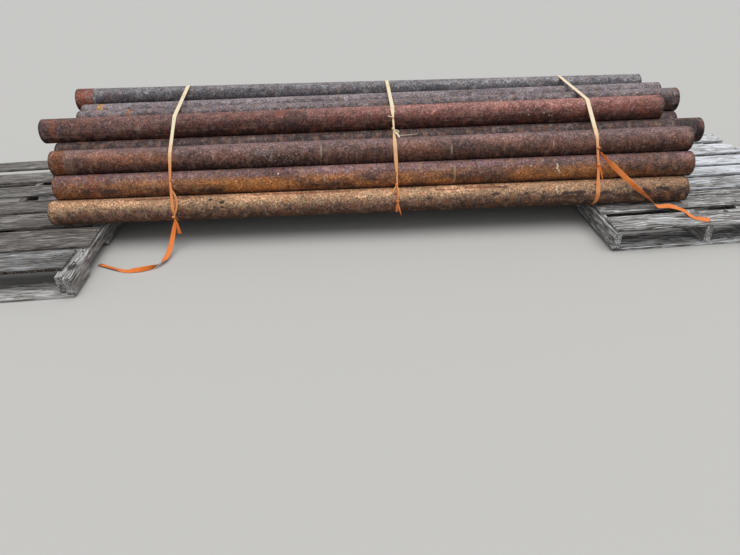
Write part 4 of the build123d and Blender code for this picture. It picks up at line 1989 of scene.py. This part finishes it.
TRIMS = (
    StrapTrim(
        "left_strap",
        knots=(Knot((-1001, -70, 168), size=15),),
        ends=(
            LooseEnd(((-998, -14, 295), (-985, -28, 277), (-974, -45, 255), (-973, -60, 229),
                      (-980, -70, 205), (-996, -70, 174)),
                     widths=((0, 8), (0.3, 15), (0.7, 13), (1, 8)),
                     turns=((0, 20), (0.5, 30), (1, 20)), fade=0.4),
            LooseEnd(((-998, -72, 162), (-990, -80, 139), (-986, -86, 110), (-984, -90, 82)),
                     widths=((0, 7), (0.4, 16), (1, 22)), fade=0.1),
        ),
    ),
    StrapTrim(
        "middle_strap",
        knots=(Knot((144, 231, 544), size=12, strand=6, fade=0.8), Knot((142, 165, 506), size=14, fade=0.8),
               Knot((146, -24, 279), size=13), Knot((149, -67, 206), size=14, fade=0.2)),
        ends=(
            LooseEnd(((144, 234, 546), (129, 232, 549), (115, 231, 553)), widths=((0, 4), (0.8, 5), (1, 1)),
                     fade=0.9),
            LooseEnd(((143, 160, 504), (152, 144, 505), (162, 135, 506), (170, 131, 500), (159, 133, 494),
                      (148, 144, 496)),
                     widths=((0, 5), (0.5, 8), (1, 5)), turns=((0, 20), (1, 50)), fade=1),
            LooseEnd(((144, 153, 500), (154, 133, 496), (163, 118, 490), (169, 105, 480)),
                     widths=((0, 5), (0.4, 10), (1, 9)), fade=0.9),
            LooseEnd(((166, 115, 487), (194, 122, 484), (230, 125, 485), (264, 128, 487)),
                     widths=((0, 2.5), (1, 1.5)), fade=1),
            LooseEnd(((146, -27, 276), (137, -38, 267), (126, -47, 256), (123, -50, 247), (131, -47, 246),
                      (140, -39, 257)),
                     widths=((0, 5), (0.5, 7), (1, 4)), turns=((0, 10), (1, 60)), fade=0.4),
            LooseEnd(((147, -29, 273), (155, -43, 258), (155, -58, 236), (149, -65, 212)),
                     widths=((0, 6), (0.5, 11), (1, 7)), turns=((0, 0), (1, 30)), fade=0.4),
            LooseEnd(((149, -70, 203), (144, -76, 184), (140, -78, 154)),
                     widths=((0, 5), (0.6, 11), (1, 8)), fade=0.25),
            LooseEnd(((150, -70, 203), (152, -78, 185), (157, -84, 165), (165, -88, 138)),
                     widths=((0, 5), (0.5, 9), (1, 3)), fade=0.15),
        ),
    ),
    StrapTrim(
        "right_strap",
        knots=(Knot((1176, 47, 405), size=14), Knot((1173, 4, 331), size=15, fade=0.2)),
        ends=(
            LooseEnd(((1177, 1, 328), (1181, -12, 314), (1185, -25, 295), (1189, -39, 270)),
                     widths=((0, 5), (0.5, 8), (1, 6)), turns=((0, 30), (1, 50)), fade=0),
        ),
    ),
)


PALE_PINE = OldTimber("pale_weathered_pine")
DARK_PINE = OldTimber("dark_weathered_pine", body="#76716c", silver="#9c9893", bleach="#d8d6d3", ridges=1.9)
# Each spot's middle in the stack's frame, its half sizes in millimetres and its colour
PALE_SPOTS = (((2010, -190, 121), (30, 18, 20), "#e2e3e8"), ((1800, -150, 121), (12, 12, 10), "#2c2520"))
DARK_SPOTS = (((-1390, -420, 121), (30, 30, 30), "#35302c"),)
# The stringers are lifted as painted fill light on faces in shade. The rear deck boards are lighter and
# bluer, partly their own silvering and partly a painted sheen of the sky
PALE_TONES = {
    "deck_board_1": (0.03, 0), "deck_board_3": (0.12, 0.3), "deck_board_4": (0.42, 0.4),
    "deck_board_5": (0.4, 0.4), "deck_board_6": (0.36, 0.2), "deck_board_7": (0.3, 0.1),
    "bottom_board_1": (0.1, 0), "stringer_1": (0.16, 0), "stringer_2": (0.1, 0), "stringer_3": (0.1, 0),
    "stringer_4": (0.1, 0),
}
# bottom_board_1, the companion and the stringers are lifted as painted fill light on faces in shade
DARK_TONES = {
    "deck_board_1": (0, 0.9), "deck_board_2": (-0.1, 0), "deck_board_3": (-0.05, 0),
    "deck_board_4": (-0.1, 0), "bottom_board_1": (0.3, 0), "companion": (0.22, 0.3),
    "stringer_1": (0.25, 0.3), "stringer_3": (0.25, 0.3),
}


def spotted(finish: OldTimber, spots: tuple[tuple[Point, Point, str], ...], stack: StackFrame) -> OldTimber:
    """A timber finish with its knots and chips put in their places.

    Args:
        finish: The plain finish.
        spots: Each spot's middle and half sizes in millimetres, and its colour.
        stack: The frame that places are given in.

    Returns:
        The finish with its spots.
    """
    placed = (TimberSpot(stack.at(*middle), tuple(half * MM for half in halves), colour)
              for middle, halves, colour in spots)
    return replace(finish, spots=tuple(placed))


def main() -> None:
    """Build and dress the whole bundle in order."""
    logging.basicConfig(level=logging.INFO, format="%(message)s")
    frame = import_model()
    stack = StackFrame.from_frame()
    Studio().build(stack)
    weaver = Weaver(RibbonTree().build(), Webbing("woven_polyester_webbing").material())
    for tail in TAILS:
        tail.build(stack, weaver)
    axes = PipeStack(PIPE_FINISHES, PLAIN_RUST).build(frame)
    for strap in STRAPS:
        strap.build(axes, stack, weaver)
    for trim in TRIMS:
        trim.build(stack, weaver)
    pallets = (
        Pallet("right_pallet", "pale_weathered_wood", turn=3.3, seed=3, tones=PALE_TONES,
               finish=spotted(PALE_PINE, PALE_SPOTS, stack)),
        Pallet("left_pallet", "dark_weathered_wood", turn=3.0, seed=5, tones=DARK_TONES, notched=True,
               finish=spotted(DARK_PINE, DARK_SPOTS, stack), bark_board="left_pallet_deck_board_1"),
    )
    for pallet in pallets:
        pallet.build(frame)
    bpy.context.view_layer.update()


if __name__ == "__main__":
    main()
